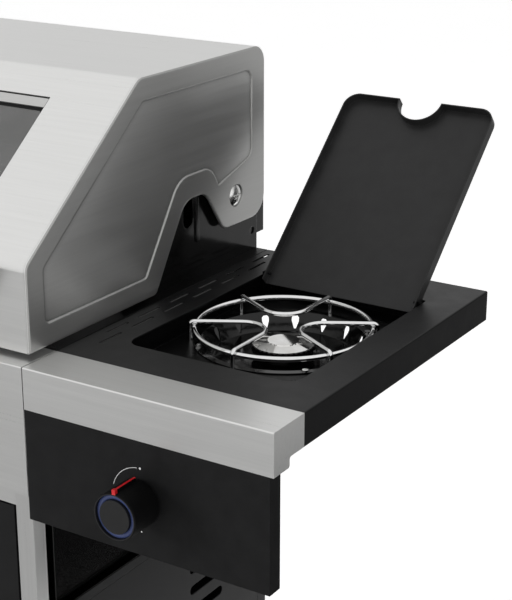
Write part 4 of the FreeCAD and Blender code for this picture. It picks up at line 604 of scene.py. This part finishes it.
def window_border_painted_shade():
    """A black border on the glass round the opening, and a black strip in the retainer's gap above it. Its
    wide band under the retainer and the strip in the gap are painted shade.
    """
    lap = 0.008                       # how far the hood laps over the glass
    gap = 0.0002
    levels = 0.0, 0.00006
    side_width, foot_width, head_width = 0.0016, 0.003, 0.005
    outer_round, inner_round, strip_round = 0.001, 0.004, 0.0008

    out, _ = front_side("hood_window")
    low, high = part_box("hood_window")
    glass = spots_of("hood_window")
    place = slope_place(out, Vector(((low.x + high.x) / 2, 0, 0)) + out * extent(glass, out)[1])
    foot, head = extent(glass, up_slope(out))
    retainer_foot, retainer_head = extent(spots_of("window_retainer"), up_slope(out))
    side, foot, head = (high.x - low.x) / 2 - lap, foot + lap, head - lap

    shape = bmesh.new()
    outer = (-side + gap, foot + gap), (side - gap, retainer_foot - gap), outer_round
    inner = ((-side + side_width, foot + foot_width),
             (side - side_width, retainer_foot - head_width), inner_round)
    join_loops(shape, [rounded_loop(shape, place, *outline, level) for outline, level in (
        (outer, levels[0]), (outer, levels[1]), (inner, levels[1]), (inner, levels[0]))])
    strip = (-side + gap, retainer_head + gap), (side - gap, head - gap), strip_round
    fill_prism(shape, *(rounded_loop(shape, place, *strip, level) for level in levels))
    bmesh.ops.recalc_face_normals(shape, faces=shape.faces)
    # the black here is painted shade under the retainer and in its gap
    piece("window_border_painted_shade", shape, INK, "hood")


def gauge_place():
    """The middle of the thermometer's flat front."""
    out, faces = front_side("thermometer")
    level = min(face.center.dot(out) for face in faces)
    front = [spot for spot in spots_of("thermometer") if spot.dot(out) > level - 0.0001]
    foot, head = extent(front, up_slope(out))
    low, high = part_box("thermometer")
    middle = Vector(((low.x + high.x) / 2, 0, 0))
    return slope_place(out, middle + up_slope(out) * ((foot + head) / 2) + out * level)


def gauge():
    """The thermometer's printed dial, its needle and its lens. Levels are from its flat front."""
    place = gauge_place()
    dial_radius, dial_levels = 0.0250, (-0.0002, 0.0003)
    dial = bmesh.new()
    flat_disc(dial, place, dial_radius, dial_levels, steps=72)
    piece("gauge_dial", dial, CERAMIC, "hood")

    print_levels = 0.00025, 0.0004
    ticks, long_every, turn, tick_end = 50, 5, 135, 0.0232
    long_start, long_half = 0.0195, 0.016
    short_start, short_half = 0.0213, 0.008
    circle_radii, circle_turn = (0.0236, 0.0241), math.radians(turn + 1)
    marks = bmesh.new()
    for tick in range(ticks + 1):
        angle = math.radians(-turn + 2 * turn * tick / ticks)
        is_long = tick % long_every == 0
        start, half = (long_start, long_half) if is_long else (short_start, short_half)
        flat_ribbon(marks, place, (start, tick_end), (angle - half, angle + half), print_levels, steps=2)
    flat_ribbon(marks, place, circle_radii, (-circle_turn, circle_turn), print_levels)
    piece("gauge_marks", marks, INK, "hood")

    hub_radius, hub_levels = 0.0024, (0.00028, 0.0012)
    hand_radii, hand_levels = (0.0018, 0.0190), (0.0007, 0.0011)
    cold, hand_half = math.radians(-128), 0.018
    needle = bmesh.new()
    flat_disc(needle, place, hub_radius, hub_levels, steps=32)
    flat_ribbon(needle, place, hand_radii, (cold - hand_half, cold + hand_half), hand_levels, steps=2)
    piece("gauge_needle", needle, RED, "hood")

    lens_radius, lens_levels = 0.0257, (0.0014, 0.0018)
    lens = bmesh.new()
    flat_disc(lens, place, lens_radius, lens_levels, steps=72)
    piece("gauge_lens", lens, LENS, "hood")


window_border_painted_shade()
gauge()


# ---------------------------------------------------------------- studio, light and camera

ROOM_LIGHT = 0.36              # how strongly the white room lights the object
FLOOR_GLOW = 0.66              # what the lit floor lacks to look white
FLOOR_SIZE = 60
LAMP_TARGET = (0.3, 0, 0.9)
RIGHT, BACK, UP = (1, 0, 0), (0, 1, 0), (0, 0, 1)


def room():
    """A room that is white to the camera, to metal and to glass, and lights the rest softly."""
    world = bpy.data.worlds.new("studio")
    world.use_nodes = True
    bpy.context.scene.world = world
    walls = Shading(world.node_tree)
    background = walls.nodes["Background"]
    level = walls.spread(walls.seen(), ROOM_LIGHT, 1.0, start=0.0, end=1.0)
    walls.put((1.0, 1.0, 1.0, 1.0), background.inputs["Color"])
    walls.put(level, background.inputs["Strength"])


def sheet(name, center, across, up, width, height):
    """A flat part of the studio about a center, spanned by two directions."""
    across, up = Vector(across).normalized(), Vector(up).normalized()
    mesh = bpy.data.meshes.new(name)
    corners = [(a * width / 2, b * height / 2, 0) for a, b in ((-1, -1), (1, -1), (1, 1), (-1, 1))]
    mesh.from_pydata(corners, [], [(0, 1, 2, 3)])
    thing = bpy.data.objects.new(name, mesh)
    bpy.context.scene.collection.objects.link(thing)
    turn = Matrix((across, up, across.cross(up))).transposed().to_4x4()
    thing.matrix_world = Matrix.Translation(center) @ turn
    return thing


def floor():
    """Pale paper that keeps the object's shadow and looks white round it."""
    paper = Finish("floor_paper", (0.8, 0.8, 0.8), 0.9)
    fibres = paper.noise(5.0, detail=3.0)
    paper.set("Base Color", paper.blend(fibres, (0.79, 0.79, 0.79), (0.82, 0.82, 0.82)))
    paper.set("Emission Color", (1.0, 1.0, 1.0, 1.0))
    paper.set("Emission Strength", paper.calculate("MULTIPLY", paper.seen(), FLOOR_GLOW))
    thing = sheet("floor", (0, 0, 0), RIGHT, BACK, FLOOR_SIZE, FLOOR_SIZE)
    thing.data.materials.append(paper.material)


def card(name, center, across, up, width, height, levels):
    """A card that only metal and gloss reflect. Its levels are places across it and their greys."""
    paper = Finish(name, (0.0, 0.0, 0.0), 1.0, Specular_IOR_Level=0.0, Emission_Strength=1.0)
    spot = paper.add("ShaderNodeTexCoord").outputs["Object"]
    along = paper.add("ShaderNodeSeparateXYZ", {"Vector": spot}).outputs["X"]
    share = paper.spread(along, 0.0, 1.0, start=-width / 2, end=width / 2)
    ramp = paper.add("ShaderNodeValToRGB", {"Fac": share})
    ramp.color_ramp.interpolation = "EASE"
    stops = ramp.color_ramp.elements
    while len(stops) < len(levels):
        stops.new(0.5)
    for stop, (position, level) in zip(stops, levels):
        stop.position = position
        stop.color = (level, level, level, 1.0)
    paper.set("Emission Color", ramp.outputs["Color"])
    thing = sheet(name, center, across, up, width, height)
    thing.data.materials.append(paper.material)
    for ray in ("camera", "diffuse", "transmission", "volume_scatter", "shadow"):
        setattr(thing, f"visible_{ray}", False)


def lamp(name, location, size, power):
    """A square lamp that points at the object and isn't reflected in it."""
    data = bpy.data.lights.new(name, "AREA")
    data.size = size
    data.energy = power
    thing = bpy.data.objects.new(name, data)
    bpy.context.scene.collection.objects.link(thing)
    thing.location = location
    thing.rotation_euler = (Vector(location) - Vector(LAMP_TARGET)).to_track_quat("Z", "Y").to_euler()
    thing.visible_glossy = False


def camera(location, azimuth, elevation, lens):
    """The camera at the photograph's place. Azimuth is from the front, to the right, in degrees."""
    turn, rise = math.radians(azimuth), math.radians(elevation)
    back = Vector((math.sin(turn) * math.cos(rise), -math.cos(turn) * math.cos(rise), math.sin(rise)))
    data = bpy.data.cameras.new("camera")
    data.lens = lens
    data.sensor_width = 36.0
    data.clip_end = 100.0
    thing = bpy.data.objects.new("camera", data)
    bpy.context.scene.collection.objects.link(thing)
    thing.location = location
    thing.rotation_euler = back.to_track_quat("Z", "Y").to_euler()
    bpy.context.scene.camera = thing


room()
floor()
card("front_card", (-1.2, -1.9, 0.004), RIGHT, BACK, 4.4, 3.2, levels=[(0.0, 0.49), (1.0, 0.47)])
card("rear_card", (-1.8, 3.2, 2.0), RIGHT, UP, 5.0, 3.6, levels=[(0.0, 0.74), (1.0, 0.80)])
card("dark_card", (1.35, 1.55, 0.9), (0.85, -0.53, 0), UP, 3.0, 2.4,
     levels=[(0.0, 0.90), (0.35, 0.52), (0.6, 0.42), (1.0, 0.80)])
# A black card where the grill's shadow falls on the floor behind the right shelf: a painted shadow, seen
# only in reflections.
card("painted_floor_shadow", (1.30, 1.10, 0.008), RIGHT, BACK, 0.84, 1.5, levels=[(0.0, 0.01), (1.0, 0.01)])
lamp("key", (-2.7, -2.5, 1.7), size=1.3, power=108)
lamp("fill", (2.6, -2.4, 2.0), size=1.6, power=20)
camera((1.3916, -1.4464, 1.5138), azimuth=32.364, elevation=19.352, lens=91.58)
bpy.context.scene.view_settings.view_transform = "Standard"
